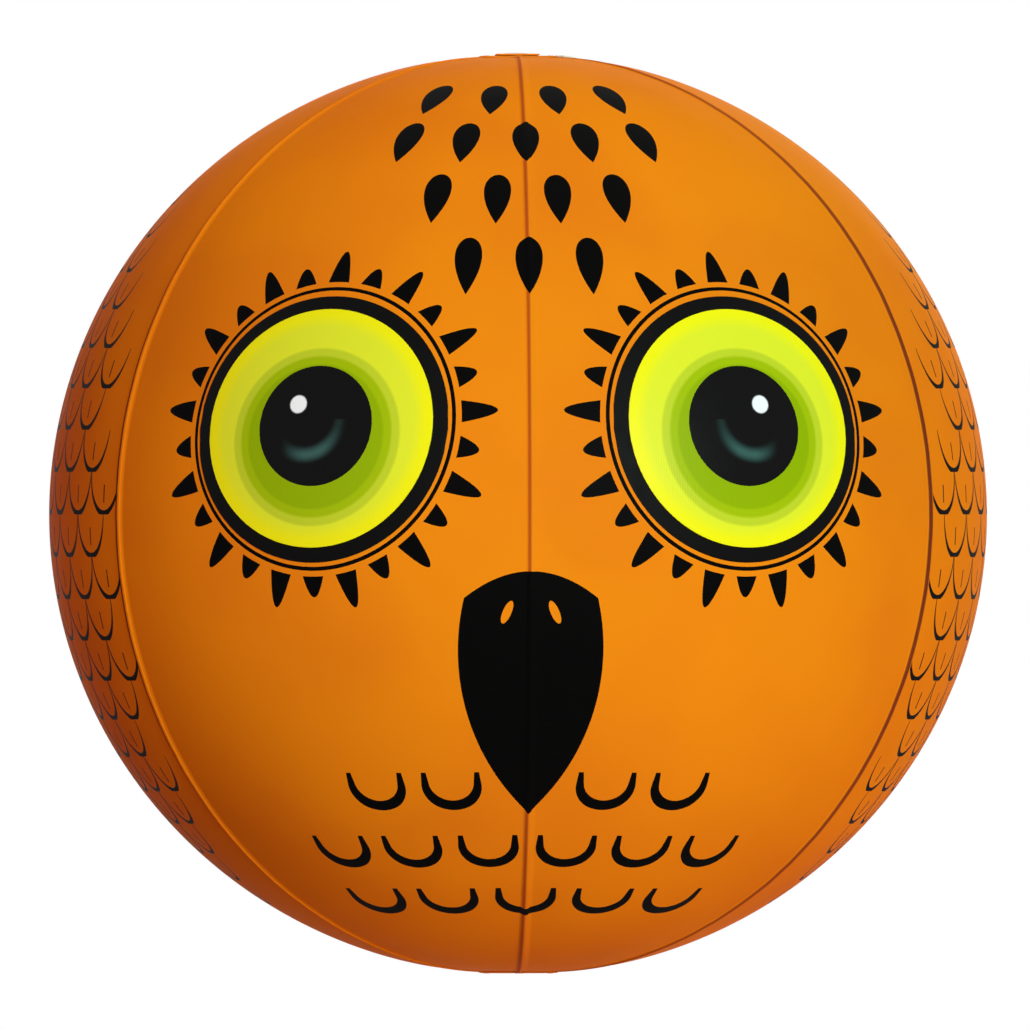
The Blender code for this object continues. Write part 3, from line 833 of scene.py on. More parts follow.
def valve_matrix():
    """The turn and place of the valve's axes."""
    out = skin_normal(VALVE_AZIMUTH, VALVE_LIFT)
    away = Vector((math.sin(VALVE_AZIMUTH), -math.cos(VALVE_AZIMUTH), 0.0))
    away = (away - out * away.dot(out)).normalized()
    turn = Matrix((away, out.cross(away), out)).transposed().to_4x4()
    return Matrix.Translation(skin_point(VALVE_AZIMUTH, VALVE_LIFT)) @ turn


def hole_tool():
    """A round bar along the valve's axis, wide enough for the sleeve."""
    bar = bmesh.new()
    bmesh.ops.create_cone(bar, cap_ends=True, segments=64, depth=0.01,
                          radius1=SLEEVE_HOLE, radius2=SLEEVE_HOLE)
    bmesh.ops.transform(bar, matrix=VALVE, verts=bar.verts)
    mesh = bpy.data.meshes.new("hole_tool")
    bar.to_mesh(mesh)
    bar.free()
    return new_object("hole_tool", mesh)


VALVE = valve_matrix()
tool = hole_tool()
for index, name in enumerate(GORE_NAMES):
    film = VINYL_FRONT if "front" in name else VINYL_SIDE if "side" in name else VINYL
    gore = grow(f"film_{name}", GORE_TREE, film, {"Gore": index}, wall=FILM,
                cutter=tool if name == "gore_back_right" else None)
    dress(gore, "envelope", "vinyl", name)
bpy.data.objects.remove(tool)

# %% [markdown]
# ## Discs that lie on the ball
#
# The eyes are round sheets bent to the ball. A tree lays a grid out as a
# disc: columns stay upright, so that a lens can carry its upright ribs, and
# each column is cut to the circle. A ribbed lens sheet has a row of low
# rounded ridges, which make the eye seem to move as the ball turns.

# %% The disc tree
RIB_PITCH = 0.0017
RIM_CROWDING = 0.35
DISC_SIZES = {
    "Side": 1, "Columns": 120, "Rows": 56, "Radius": BACKING_RADIUS, "Height": 0.00041,
    "Rib pitch": RIB_PITCH, "Rib depth": 0.0,
}


def make_disc_tree():
    """A tree that lays a round sheet on the skin about an eye's centre."""
    tree, size = start_tree("round_sheet", DISC_SIZES)
    flat, u, v = flat_grid(tree, 2.0, size["Columns"], size["Rows"])
    across = u * size["Radius"]
    crowded = v * (1.0 + RIM_CROWDING - RIM_CROWDING * v * v)
    up = crowded * ((1.0 - u * u).high(0.0).root()) * size["Radius"]
    distance = length(across, up).high(0.0000001)
    reach = distance / HALF_WIDTH
    share = (across / size["Rib pitch"]).fraction() * 2.0 - 1.0
    rib = (1.0 - share * share) * size["Rib depth"]
    centre_azimuth = size["Side"] * EYE_AZIMUTH
    sine, cosine = centre_azimuth.sin(), centre_azimuth.cos()
    level, steep = math.cos(EYE_LIFT), math.sin(EYE_LIFT)
    forward = reach.cos()
    right_part = across / distance * reach.sin()
    up_part = up / distance * reach.sin()
    x = forward * level * sine + right_part * cosine - up_part * steep * sine
    y = -(forward * level * cosine) + right_part * sine + up_part * steep * cosine
    z = forward * steep + up_part * level
    place = skin_nodes(tree, turn_of(x, -y), z.arcsine(), size["Height"] + rib)
    kept = keep_sheet(tree, flat, across, up, distance)
    return end_tree(tree, bend(tree, kept, place, MERGE))


DISC_TREE = make_disc_tree()
print("nodes in the disc tree:", len(DISC_TREE.nodes))

# %% [markdown]
# The printed backing is matt black with a fine screen in it. On the lens, the
# rings of colour step from yellow through green to a black pupil, with a teal
# crescent of painted reflection in it and one white glint, a painted highlight.
# The sheet's own coordinates, stored by the tree, carry them.


# %% The lens sheet's finish
IRIS_EDGE = (0.066, 0.077)
STEP_RADII = (0.0590, 0.0535, 0.0480)
STEP_DROP = 0.007
STEP_BLUR = 0.0012
PUPIL_RADIUS = 0.040
GLEAM_RADIUS = 0.0255
GLEAM_OFF = 0.006
GLINT_PLACE = (0.0125, 0.0140)
GLINT_EDGE = (0.0052, 0.0066)


def make_lens_material():
    """The ringed eye under clear ribs."""
    material, tree, shader, place = start_material("eye_lens_sheet", specular=0.06)
    sheet = add(tree, "ShaderNodeAttribute", attribute_name="sheet").outputs["Vector"]
    across, up, distance = split(tree, sheet)
    outward = across * split(tree, place)[0].sign()
    base = mix(tree, distance.rise(*IRIS_EDGE), LIME, LIME_PALE)
    low_distance = length(outward, up + STEP_DROP)
    for radius, shade in zip(STEP_RADII, LIME_STEPS):
        edge = low_distance.rise(radius - STEP_BLUR, radius + STEP_BLUR)
        base = mix(tree, edge, shade, base)
    # Painted reflection: a soft teal crescent low in the pupil
    gleam = abs(length(outward - GLEAM_OFF, up - GLEAM_OFF) - GLEAM_RADIUS).rise(0.0, 0.0065)
    gleam = (1.0 - gleam) * up.under(0.004) * (1.0 - abs(outward).rise(0.004, 0.024))
    base = mix(tree, distance.under(PUPIL_RADIUS), base, mix(tree, gleam * 0.85, INK, TEAL_REFLECTION))
    # Painted highlight: a white glint at the pupil's upper outer side
    glint = length(outward - GLINT_PLACE[0], up - GLINT_PLACE[1]).rise(*GLINT_EDGE)
    base = mix(tree, 1.0 - glint, base, GLINT_WHITE)
    rough = 0.26 + 0.14 * noise(tree, place, 120.0, 3.0, 0.6)
    end_material(tree, shader, base, rough, noise(tree, place, 900.0, 1.0) * 0.000004)
    return material


EYE_LENS = make_lens_material()
print("the pupil is mm across:", 2000 * PUPIL_RADIUS)

# %% The eyes
EYE_BACKING = make_plain(
    "eye_backing_ink", (INK, INK_WORN), 0.4, spots=(240.0, 3.0, 0.6), edge=(0.6, 0.8),
    dull=(0.42, 0.2, 90.0), grain=(1500.0, 1.0, 0.000008), specular=0.04,
)
RIBS = round(2 * LENS_RADIUS / RIB_PITCH)
LENS_SIZES = {
    "Columns": RIBS * 4 + 1, "Rows": 50, "Radius": LENS_RADIUS, "Height": 0.00088,
    "Rib pitch": RIB_PITCH, "Rib depth": 0.00007,
}
for side, word in ((-1, "left"), (1, "right")):
    backing = grow(f"eye_print_{word}", DISC_TREE, EYE_BACKING, {"Side": side},
                   wall=0.00045, bevel=0.0001)
    dress(backing, "envelope", "eye_print", f"eye_backing_{word}")
    lens = grow(f"eye_sheet_{word}", DISC_TREE, EYE_LENS, dict(LENS_SIZES, Side=side),
                wall=0.0010, bevel=0.00025)
    dress(lens, "envelope", "eye_lens", f"eye_lens_{word}")
print("ribs on a lens:", RIBS)

# %% [markdown]
# ## Pole patches
#
# Where six pointed tips meet, film is weakest, so a round patch is welded over
# them at the crown and at the base. It drapes: high on the six laps, low
# between them, and pressed down at its rim. A ring of short bars shows where
# the welding die bit. The bars are one small shape, set out by a tree.

# %% The patch tree
PATCH_FILM = 0.0005
DRAPE = 0.0025
TIPS_CROWD = (0.010, 0.019)
DRAPE_SIZES = {"Side": 1, "Low": 0.00042, "Lap height": 0.0008, "Lap width": LAP_WIDTH}
PATCH_SIZES = dict(DRAPE_SIZES, Turns=144, Rings=30, Radius=PATCH_RADIUS)


def draped(tree, size, ring, azimuth, over=0.0):
    """A point on a patch or over it, up on the laps and low between them."""
    spread = abs((azimuth * (GORE_COUNT / 2)).sin()) / (GORE_COUNT / 2) * ring
    on_lap = 1.0 - (spread - size["Lap width"] / 2).rise(0.0, DRAPE)
    crowd = 1.0 - ring.rise(*TIPS_CROWD)
    height = size["Low"] + on_lap.high(crowd) * size["Lap height"]
    lift = size["Side"] * (ring / HALF_WIDTH).arccosine()
    return skin_nodes(tree, azimuth, lift, height + over)


def make_patch_tree():
    """A tree that drapes a round patch over a pole."""
    tree, size = start_tree("pole_patch", PATCH_SIZES)
    flat, u, v = flat_grid(tree, 1.0, size["Turns"], size["Rings"])
    azimuth = -(size["Side"] * u * math.tau)
    place = draped(tree, size, (v + 0.5) * size["Radius"], azimuth)
    return end_tree(tree, bend(tree, flat, place, MERGE))


PATCH_TREE = make_patch_tree()
for side, node in ((1, "crown_patch"), (-1, "base_patch")):
    patch = grow(f"welded_{node}", PATCH_TREE, VINYL, {"Side": side},
                 wall=PATCH_FILM, bevel=0.00015)
    dress(patch, "envelope", "vinyl", node)

# %% The weld's bars
BAR_SIZES = dict(DRAPE_SIZES, Bars=84, Ring=0.0240, Length=0.0030, Width=0.0009, Rise=0.00050)
BAR_SEGMENTS = 8


def make_bar_tree():
    """A tree that sets low rounded bars round a patch, where the die pressed."""
    tree, size = start_tree("weld_bars", BAR_SIZES)
    circle = add(tree, "GeometryNodeMeshCircle",
                 {"Vertices": size["Bars"], "Radius": size["Ring"]})
    index = Formula(tree, add(tree, "GeometryNodeInputIndex").outputs[0])
    azimuth = index / size["Bars"] * math.tau
    points = add(tree, "GeometryNodeMeshToPoints", {
        "Mesh": circle.outputs["Mesh"],
        "Position": draped(tree, size, size["Ring"], azimuth, PATCH_FILM),
    })
    ball = add(tree, "GeometryNodeMeshUVSphere",
               {"Segments": BAR_SEGMENTS, "Rings": 5, "Radius": 0.5})
    # Half a segment's turn gives the bar blunt ends
    bar = add(tree, "GeometryNodeTransform", {
        "Geometry": ball.outputs["Mesh"], "Rotation": (0.0, 0.0, math.pi / BAR_SEGMENTS),
    })
    bars = add(tree, "GeometryNodeInstanceOnPoints", {
        "Points": points.outputs[0], "Instance": bar.outputs[0],
        "Rotation": join(tree, 0.0, 0.0, azimuth - math.pi / 2),
        "Scale": join(tree, size["Length"], size["Width"], size["Rise"]),
    })
    return end_tree(tree, bars.outputs[0])


BAR_TREE = make_bar_tree()
for side, word in ((1, "crown"), (-1, "base")):
    dress(grow(f"weld_bars_{word}", BAR_TREE, VINYL, {"Side": side}), "envelope", "vinyl")

# %% [markdown]
# ## Turned and flat small pieces
#
# The eyelet and the valve are small but they are the only hard things on the
# ball, so the eye goes to them. A turned piece is a section with rounded
# corners, spun in fine steps. Its section is written as rows of radius, height
# and corner, in millimetres. Flat pieces get a rounded outline and a soft
# edge. Both are built in their own axes and moved into place in the mesh.


# %% Spin a section
CORNER_STEPS = 3


def rounded(rows):
    """The points of a section in metres, with its corners rounded."""
    corners = [Vector((radius / 1000, z / 1000)) for radius, z, _ in rows]
    points = []
    for index, corner in enumerate(corners):
        curve = rows[index][2] / 1000
        if curve == 0:
            points.append(corner)
            continue
        before = corners[index - 1] - corner
        after = corners[(index + 1) % len(corners)] - corner
        reach = min(curve, before.length * 0.49, after.length * 0.49)
        start = corner + before.normalized() * reach
        end = corner + after.normalized() * reach
        for step in range(CORNER_STEPS + 1):
            share = step / CORNER_STEPS
            points.append(start.lerp(corner, share).lerp(corner.lerp(end, share), share))
    return points


def add_turned(mesh, section, matrix, steps):
    """Add a closed section, or one with its ends on the axis, turned about Z."""
    rings = []
    for radius, z in section:
        turns = [math.tau * step / steps for step in range(steps)] if radius else [0.0]
        spots = [Vector((radius * math.cos(turn), radius * math.sin(turn), z)) for turn in turns]
        ring = [mesh.verts.new(matrix @ spot) for spot in spots]
        rings.append(ring * (steps // len(ring)))
    pairs = list(zip(rings, rings[1:]))
    if section[0][0]:
        pairs.append((rings[-1], rings[0]))
    for first, second in pairs:
        for step in range(steps):
            after = (step + 1) % steps
            corners = dict.fromkeys([first[step], first[after], second[after], second[step]])
            if len(corners) > 2:
                mesh.faces.new(list(corners))


def add_bar(mesh, low, high, matrix, edge):
    """Add a flat bar between two corners in millimetres, with soft edges."""
    bar = bmesh.new()
    bmesh.ops.create_cube(bar, size=1.0)
    low, high = ([value / 1000 for value in corner] for corner in (low, high))
    for vert in bar.verts:
        vert.co = [low[i] + (vert.co[i] + 0.5) * (high[i] - low[i]) for i in range(3)]
    bmesh.ops.bevel(bar, geom=bar.edges[:], offset=edge, segments=2, affect="EDGES", profile=0.7)
    bmesh.ops.transform(bar, matrix=matrix, verts=bar.verts)
    copy = bpy.data.meshes.new("bar")
    bar.to_mesh(copy)
    bar.free()
    mesh.from_mesh(copy)
    bpy.data.meshes.remove(copy)


def close_piece(name, mesh, material, crisp=35.0):
    """Turn a finished bmesh into a piece with its faces outwards."""
    bmesh.ops.recalc_face_normals(mesh, faces=mesh.faces)
    data = bpy.data.meshes.new(name)
    mesh.to_mesh(data)
    mesh.free()
    data.materials.append(material)
    soften(data, crisp)
    return new_object(name, data)


def turned_piece(name, rows, matrix, material, steps=96, bars=(), edge=0.0002):
    """A turned piece from its rows, with any flat bars that it carries."""
    mesh = bmesh.new()
    add_turned(mesh, rounded(rows), matrix, steps)
    for low, high in bars:
        add_bar(mesh, low, high, matrix, edge)
    return close_piece(name, mesh, material)


print("faces to a rounded corner:", CORNER_STEPS)

# %% [markdown]
# Two finishes serve them. The nickel of the eyelet is bright with fine turned
# scratches. The valve is milky vinyl, thick and a little waxy, with a faint
# cloud in its colour.

# %% Nickel and milky vinyl
EYELET_NICKEL = make_plain(
    "eyelet_nickel", (NICKEL, NICKEL_DULL), 0.4, spots=(900.0, 4.0, 0.6), edge=(0.55, 0.75),
    dull=(0.2, 0.2, 1400.0), grain=(2600.0, 2.0, 0.000004), metallic=1.0,
)
MILKY = make_plain(
    "valve_milky_vinyl", (MILK, MILK_DEEP), 1.0, spots=(160.0, 3.0, 0.5), edge=(0.35, 0.75),
    dull=(0.34, 0.16, 500.0), grain=(1300.0, 2.0, 0.00001), specular=0.3,
)
print("materials so far:", len(bpy.data.materials))

# %% [markdown]
# ## The hang tab
#
# The tab is one strip of thicker film. Its front end is welded to the crown
# patch, and the rest is free to fold up from it. The free flap carries a
# metal eyelet, with a barrel that is pushed through and curled over a washer.


# %% Flat plates with soft edges
def plate(name, outlines, low, high, material, edge=0.0001):
    """A flat plate from its outline and holes, between two heights."""
    curve = bpy.data.curves.new(name, "CURVE")
    curve.dimensions = "2D"
    curve.fill_mode = "BOTH"
    curve.extrude = (high - low) / 2 - edge
    curve.bevel_depth = edge
    curve.bevel_resolution = 2
    curve.offset = -edge
    for outline in outlines:
        spline = curve.splines.new("POLY")
        spline.points.add(len(outline) - 1)
        for point, (x, y) in zip(spline.points, outline):
            point.co = (x, y, 0.0, 1.0)
        spline.use_cyclic_u = True
    obj = new_object(name, curve)
    mesh = plain_mesh(obj)
    bpy.data.objects.remove(obj)
    mesh.transform(Matrix.Translation((0.0, 0.0, (low + high) / 2)))
    merged = bmesh.new()
    merged.from_mesh(mesh)
    bmesh.ops.remove_doubles(merged, verts=merged.verts, dist=0.000005)
    bpy.data.meshes.remove(mesh)
    return close_piece(name, merged, material, 30.0)


def arc(x, y, radius, start, end, steps=24):
    """Points along an arc, both ends included."""
    turns = [start + (end - start) * index / steps for index in range(steps + 1)]
    return [(x + radius * math.cos(turn), y + radius * math.sin(turn)) for turn in turns]


def rounded_outline(width, depth, corner):
    """A rectangle about its centre with round corners."""
    points = []
    for number, (x, y) in enumerate(((1, 1), (-1, 1), (-1, -1), (1, -1))):
        start = number * math.pi / 2
        middle = (x * (width / 2 - corner), y * (depth / 2 - corner))
        points += arc(*middle, corner, start, start + math.pi / 2, 6)
    return points


print("points on a half circle:", len(arc(0.0, 0.0, 1.0, 0.0, math.pi)))

# %% The tab's two leaves
TAB_LOW = 0.29880
TAB_TOP = 0.29960
STRIP_DEPTH = 0.014
STRIP_CORNER = 0.003
FOLD_Y = 0.0074
EYE_Y = FOLD_Y + 0.036
EYE_HOLE = 0.00555
FLAP_START = FOLD_Y + 0.0004
base_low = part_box("hang_tab_base")[0].z
strip_outline = rounded_outline(TAB_WIDTH, STRIP_DEPTH, STRIP_CORNER)
strip = plate("welded_tab_strip", [strip_outline], base_low, TAB_TOP, VINYL)
dress(strip, "envelope", "vinyl", "hang_tab_base")
flap_outline = arc(0.0, EYE_Y, TAB_WIDTH / 2, 0.0, math.pi)
flap_outline += [(-TAB_WIDTH / 2, FLAP_START), (TAB_WIDTH / 2, FLAP_START)]
eye_hole = arc(0.0, EYE_Y, EYE_HOLE, 0.0, math.tau, 64)[:-1]
flap = plate("folding_tab_flap", [flap_outline, eye_hole], TAB_LOW, TAB_TOP, VINYL)
dress(flap, "hang_tab", "vinyl", "hang_tab")

# %% [markdown]
# The strip's weld left a bed of tiny squares, set out on a grid by a tree. A
# thin neck of film joins the two leaves. It belongs to both, so it rides on
# neither. It could ride on one leaf, but then it would tear off the other.

# %% Squares on the strip
SQUARE_SIZES = {
    "Across": 23, "Deep": 8, "Width": 0.0242, "Depth": 0.0077, "Square": 0.00075,
    "Rise": 0.00016, "Level": TAB_TOP,
}
BED_Y = -0.0004
SUNK = 0.00002


def make_square_tree():
    """A tree that sets low blunt squares on a grid."""
    tree, size = start_tree("weld_squares", SQUARE_SIZES)
    bed = add(tree, "GeometryNodeMeshGrid", {
        "Size X": size["Width"], "Size Y": size["Depth"],
        "Vertices X": size["Across"], "Vertices Y": size["Deep"],
    })
    points = add(tree, "GeometryNodeMeshToPoints", {"Mesh": bed.outputs["Mesh"]})
    square = add(tree, "GeometryNodeMeshCone", {
        "Vertices": 4, "Radius Bottom": size["Square"] * 0.7,
        "Radius Top": size["Square"] * 0.45, "Depth": size["Rise"],
    })
    squares = add(tree, "GeometryNodeInstanceOnPoints", {
        "Points": points.outputs[0], "Instance": square.outputs["Mesh"],
        "Rotation": join(tree, 0.0, 0.0, math.pi / 4),
    })
    raised = add(tree, "GeometryNodeTransform", {
        "Geometry": squares.outputs[0],
        "Translation": join(tree, 0.0, BED_Y, size["Level"] - SUNK),
    })
    return end_tree(tree, raised.outputs[0])


dress(grow("weld_squares_strip", make_square_tree(), VINYL), "envelope", "vinyl")

# %% The neck of the fold
NECK_START = 0.00704
NECK_END = 0.00776
NECK_STEPS = 10
NECK_SINK = 0.00008
NECK_LIFT = 0.00015
NECK_INSET = 0.0006
GROOVE = 0.00012
ALONG_Y = Matrix.Rotation(math.pi / 2, 4, "Z")


def hinge_neck(name, upper, lower, half, matrix, material):
    """A strip of film across a fold: two rows of points in (x, z), pulled out along y."""
    mesh = bmesh.new()
    (left_up, left_low), (right_up, right_low) = [
        [[mesh.verts.new(matrix @ Vector((x, y, z))) for x, z in row] for row in (upper, lower)]
        for y in (-half, half)
    ]
    sides = ((left_up, right_up), (right_low, left_low), (left_low, left_up), (right_up, right_low))
    for index in range(len(upper) - 1):
        for first, second in sides:
            mesh.faces.new((first[index], second[index], second[index + 1], first[index + 1]))
    for index in (0, -1):
        mesh.faces.new((left_up[index], right_up[index], right_low[index], left_low[index]))
    return close_piece(name, mesh, material)


shares = [index / NECK_STEPS for index in range(NECK_STEPS + 1)]
places = [NECK_START + (NECK_END - NECK_START) * share for share in shares]
groove = [GROOVE * math.sin(math.pi * share) for share in shares]
top_row = [(y, TAB_TOP - NECK_SINK - dip) for y, dip in zip(places, groove)]
low_row = [(y, TAB_LOW + NECK_LIFT) for y in places]
half_neck = TAB_WIDTH / 2 - NECK_INSET
neck = hinge_neck("tab_fold_neck", top_row, low_row, half_neck, ALONG_Y, VINYL)
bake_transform(neck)
print("neck of the fold in mm:", round(1000 * (NECK_END - NECK_START), 2))

# %% The eyelet
EYELET_PLACE = Matrix.Translation((0.0, EYE_Y, TAB_TOP))
EYELET_ROWS = (
    (4.75, 0.8, 0.4), (5.8, 1.12, 0.6), (7.4, 1.05, 0.6), (8.5, 0.35, 0.3),
    (8.4, 0.1, 0.1), (6.0, 0.1, 0.2), (5.25, 0.0, 0.0), (5.25, -1.9, 0.2),
    (6.6, -1.9, 0.2), (6.6, -2.3, 0.2), (5.5, -2.4, 0.4), (4.75, -2.1, 0.3),
)
WASHER_ROWS = ((5.55, -1.1, 0.1), (8.0, -1.1, 0.1), (8.0, -1.6, 0.1), (5.55, -1.6, 0.1))
eyelet = turned_piece("nickel_eyelet", EYELET_ROWS, EYELET_PLACE, EYELET_NICKEL)
dress(eyelet, "hang_tab", "eyelet", "eyelet_barrel")
washer = turned_piece("nickel_washer", WASHER_ROWS, EYELET_PLACE, EYELET_NICKEL)
dress(washer, "hang_tab", "eyelet", "eyelet_washer")

# %% [markdown]
# ## The valve
#
# A collar is welded to the film and guides a stem that pushes in flush and
# pops out to be blown into. A tethered stopper plugs the stem, and a thin
# flap at its inner end keeps the air in while the stopper is off. The
# sections repeat the solids' own and only round their corners.

# %% Collar and stem
COLLAR_ROWS = (
    (6.0, 1.7, 0.2), (10.7, 1.7, 0.1), (10.7, 2.0, 0.1), (11.5, 2.0, 0.2), (15.0, 0.83, 0.3),
    (15.0, 0.45, 0.1), (11.5, 0.45, 0.0), (7.2, 0.6, 0.0), (7.2, -0.9, 0.1), (6.0, -0.9, 0.1),
)
LIP_AND_STOP_ROWS = (
    (8.0, 4.1, 0.3), (8.0, 3.1, 0.2), (5.7, 3.1, 0.2), (5.7, -10.1, 0.0),
    (6.7, -10.1, 0.2), (6.7, -10.7, 0.2), (5.7, -11.9, 0.1),
)
# The bore and the mouth, which is widened for the plug's swing
BORE_ROWS = (
    (2.6, -11.9, 0.2), (2.6, -3.2, 0.0), (3.1, -2.9, 0.0), (3.8, -1.15, 0.0),
    (4.3, 0.6, 0.0), (4.62, 2.35, 0.0), (4.94, 4.1, 0.3),
)
collar = turned_piece("valve_collar", COLLAR_ROWS, VALVE, MILKY)
dress(collar, "envelope", "valve_vinyl", "valve_flange")
tube = turned_piece("valve_tube", LIP_AND_STOP_ROWS + BORE_ROWS, VALVE, MILKY)
dress(tube, "valve_stem", "valve_vinyl", "valve_stem")

# %% Strap, stopper and check flap
STRAP_ROWS = ((6.0, 2.8, 0.15), (8.0, 2.8, 0.15), (8.0, 2.0, 0.15), (6.0, 2.0, 0.15))
TONGUE = ((7.0, -2.0, 2.0), (12.5, 2.0, 2.8))
KNUCKLE = ((10.5, -2.0, 2.0), (12.5, 2.0, 4.1))
# The plug's own lines run from the cap's dish to its tip
PLUG_ROWS = (
    (0.0, 5.75, 0.0), (5.2, 5.75, 0.2), (5.6, 5.9, 0.2), (7.5, 5.9, 0.5), (7.5, 4.4, 0.2),
    (4.1, 4.4, 0.2), (2.4, -2.9, 0.4), (0.0, -2.9, 0.0),
)
ARM = ((6.0, -2.0, 4.4), (11.2, 2.0, 5.2))
PULL_LUG = ((-11.0, -3.0, 4.4), (-6.0, 3.0, 5.2))
LEAF_ROWS = ((0.0, -12.2, 0.0), (4.2, -12.2, 0.1), (4.2, -12.7, 0.1), (0.0, -12.7, 0.0))
LEAF_EAR = ((-4.55, -2.0, -12.7), (-2.1, 2.0, -12.2))
strap = turned_piece("stopper_tether", STRAP_ROWS, VALVE, MILKY, 72, (TONGUE, KNUCKLE))
dress(strap, "valve_stem", "valve_vinyl", "stopper_strap")
plug = turned_piece("stopper_plug", PLUG_ROWS, VALVE, MILKY, 72, (ARM, PULL_LUG))
dress(plug, "stopper", "valve_vinyl", "valve_stopper")
leaf = turned_piece("check_leaf", LEAF_ROWS, VALVE, MILKY, 72, (LEAF_EAR,), edge=0.0001)
dress(leaf, "check_flap", "valve_vinyl", "valve_check_flap")

# %% The neck between strap and stopper
STRAP_FOLD = (0.01150, 0.00412)
NECK_OUTER = 0.00078
NECK_INNER = 0.00038
NECK_FOOT = 0.01123
outer = arc(*STRAP_FOLD, NECK_OUTER, 0.0, math.pi / 2, 10) + [(NECK_FOOT, 0.00490)]
inner = arc(*STRAP_FOLD, NECK_INNER, 0.0, math.pi / 2, 10) + [(NECK_FOOT, 0.00450)]
strap_neck = hinge_neck("stopper_fold_neck", outer, inner, 0.0018, VALVE, MILKY)
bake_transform(strap_neck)
print("points along the strap's neck:", len(outer))

# %% [markdown]
# ## Light, floor and camera
#
# The photograph is lit evenly from the front and right, on pure white, with no
# hot spot, and it falls off to a warm brown at the left. Broad suns give that:
# a key in front, a warm one above, redder ones from below and from the left,
# and one behind for the other views. Only the key gleams on gloss, and a dim
# warm sky fills the shade. The white comes from the world where only the
# camera and mirrors look, so it throws no extra light on the ball. The floor
# lies well below, out of the photograph's frame. It lets the low sun through,
# as a translucent table does, and still takes the shadow in other views. Seen
# from beneath it is clear, so that the base can be looked at. The photograph
# has next to no perspective, so the camera stands far off.

# %% Suns, each with its direction, strength and tint
SUN_SPREAD = math.radians(30.0)
SUNS = {
    "key": ((0.28, -0.94, 0.20), 1.03, (0.84, 1.0, 0.95)),
    "top": ((0.22, 0.47, 0.86), 0.53, (1.0, 0.79, 0.72)),
    "low": ((0.71, 0.07, -0.70), 0.45, (1.0, 0.48, 0.46)),
    "left": ((-0.70, -0.68, 0.15), 0.25, (1.0, 0.27, 0.36)),
    "back": ((0.10, 0.97, 0.22), 0.54, (1.0, 0.95, 0.90)),
}
for name, (towards, strength, tint) in SUNS.items():
    lamp = bpy.data.lights.new(name, "SUN")
    lamp.energy = strength * math.pi
    lamp.color = tint
    lamp.angle = SUN_SPREAD
    sun = new_object(name, lamp)
    sun.rotation_euler = Vector(towards).to_track_quat("Z", "Y").to_euler()
    sun.visible_glossy = name == "key"
print("suns:", len(SUNS))


# %% Sky
def seen_directly(tree):
    """1 for the camera, mirrors and clear things, 0 for the light that lands on the object."""
    rays = add(tree, "ShaderNodeLightPath")
    seen = Formula(tree, rays.outputs["Is Camera Ray"])
    return seen.high(rays.outputs["Is Glossy Ray"]).high(rays.outputs["Is Transmission Ray"])


def make_sky():
    """White for the camera and for mirrors, a dim warm fill for everything else."""
    world = bpy.data.worlds.new("studio")
    world.use_nodes = True
    SCENE.world = world
    tree = world.node_tree
    tree.nodes.clear()
    fill = add(tree, "ShaderNodeBackground", {"Color": (1.0, 0.6, 0.5, 1.0), "Strength": 0.02})
    white = add(tree, "ShaderNodeBackground", {"Color": (1.0, 1.0, 1.0, 1.0), "Strength": 1.0})
    both = add(tree, "ShaderNodeMixShader",
               {0: seen_directly(tree), 1: fill.outputs[0], 2: white.outputs[0]})
    put(tree, add(tree, "ShaderNodeOutputWorld").inputs["Surface"], both.outputs[0])


make_sky()
SCENE.view_settings.view_transform = "Standard"
print("sky:", SCENE.world.name)

# %% The floor
FLOOR_Z = -0.9
FLOOR_RADIUS = 5.5
FLOOR_PALE = colour(236, 249, 254)
FLOOR_GRAIN = colour(231, 244, 249)
FLOOR_BOUNCE = colour(110, 84, 72)


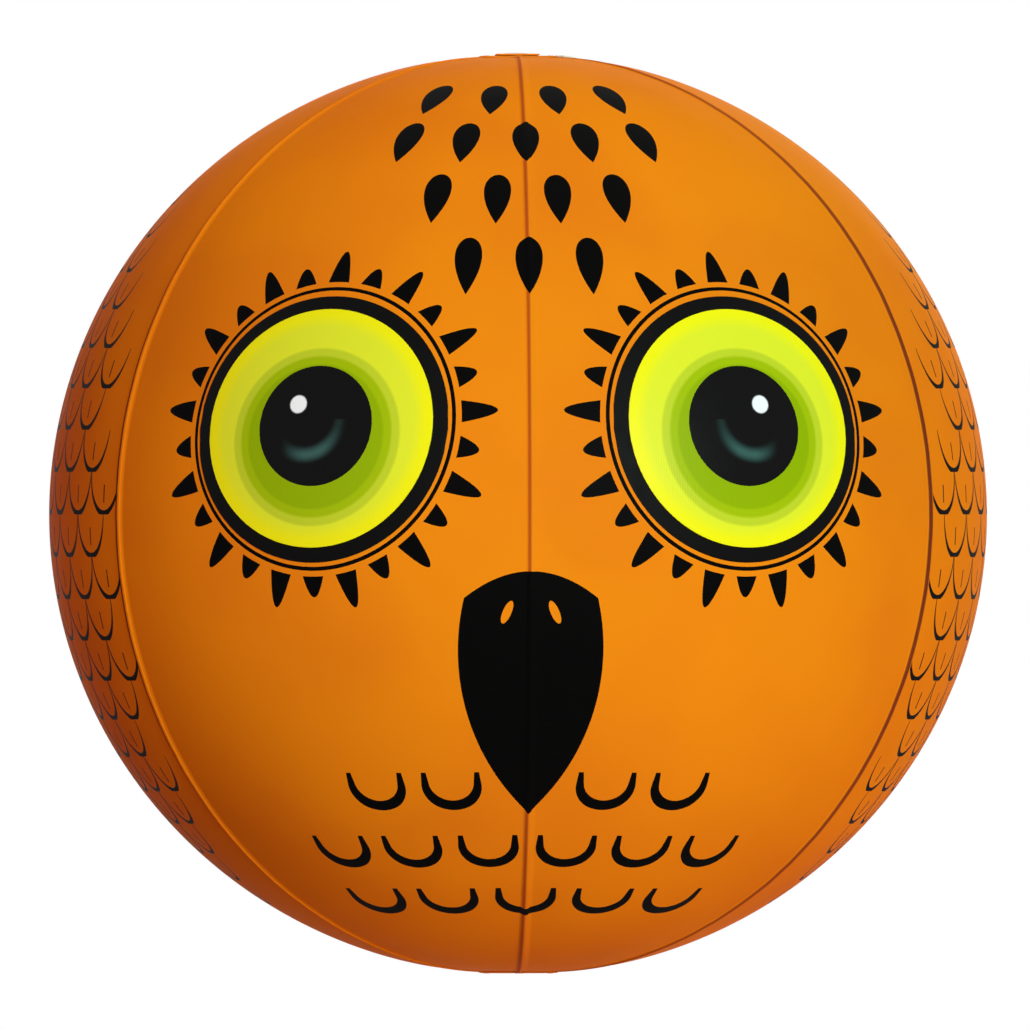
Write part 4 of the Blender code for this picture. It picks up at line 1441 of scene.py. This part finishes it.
def make_floor():
    """A round pale floor with a faint grain."""
    material, tree, shader, place = start_material("studio_floor", specular=0.1)
    shader.inputs["Roughness"].default_value = 0.9
    pale = mix(tree, noise(tree, place, 30.0, 3.0), FLOOR_PALE, FLOOR_GRAIN)
    seen = seen_directly(tree)
    put(tree, shader.inputs["Base Color"], mix(tree, seen, FLOOR_BOUNCE, pale))
    shader.inputs["Emission Color"].default_value = (1.0, 1.0, 1.0, 1.0)
    put(tree, shader.inputs["Emission Strength"], seen * 0.12)
    under = add(tree, "ShaderNodeNewGeometry").outputs["Backfacing"]
    clear = add(tree, "ShaderNodeBsdfTransparent")
    both = add(tree, "ShaderNodeMixShader", {0: under, 1: shader.outputs[0], 2: clear.outputs[0]})
    put(tree, tree.nodes["Material Output"].inputs["Surface"], both.outputs[0])
    disc = bmesh.new()
    bmesh.ops.create_circle(disc, cap_ends=True, segments=128, radius=FLOOR_RADIUS)
    bmesh.ops.translate(disc, vec=(0.0, 0.0, FLOOR_Z), verts=disc.verts)
    mesh = bpy.data.meshes.new("floor")
    disc.to_mesh(mesh)
    disc.free()
    mesh.materials.append(material)
    return new_object("floor", mesh)


floor = make_floor()
floor.visible_shadow = False
print("floor under the ball in m:", round(-FLOOR_Z - HALF_HEIGHT, 2))

# %% The camera
DISTANCE = 24.0
VIEW_AZIMUTH = math.radians(-1.62)
CAMERA_SHIFT = (-0.00195, -0.00035)
IMAGE_WIDTH = 0.6699
SENSOR = 36.0


def make_camera():
    """A long lens straight ahead, a touch to the left of the middle."""
    data = bpy.data.cameras.new("camera")
    data.sensor_width = SENSOR
    data.lens = SENSOR * DISTANCE / IMAGE_WIDTH
    data.clip_start = 0.05
    data.clip_end = 2 * DISTANCE
    camera = new_object("camera", data)
    back = Vector((math.sin(VIEW_AZIMUTH), -math.cos(VIEW_AZIMUTH), 0.0))
    right = Vector((math.cos(VIEW_AZIMUTH), math.sin(VIEW_AZIMUTH), 0.0))
    across, up = CAMERA_SHIFT
    camera.location = back * DISTANCE + right * across + Vector((0.0, 0.0, up))
    camera.rotation_euler = back.to_track_quat("Z", "Y").to_euler()
    SCENE.camera = camera
    print("lens in mm:", round(data.lens, 1))


make_camera()
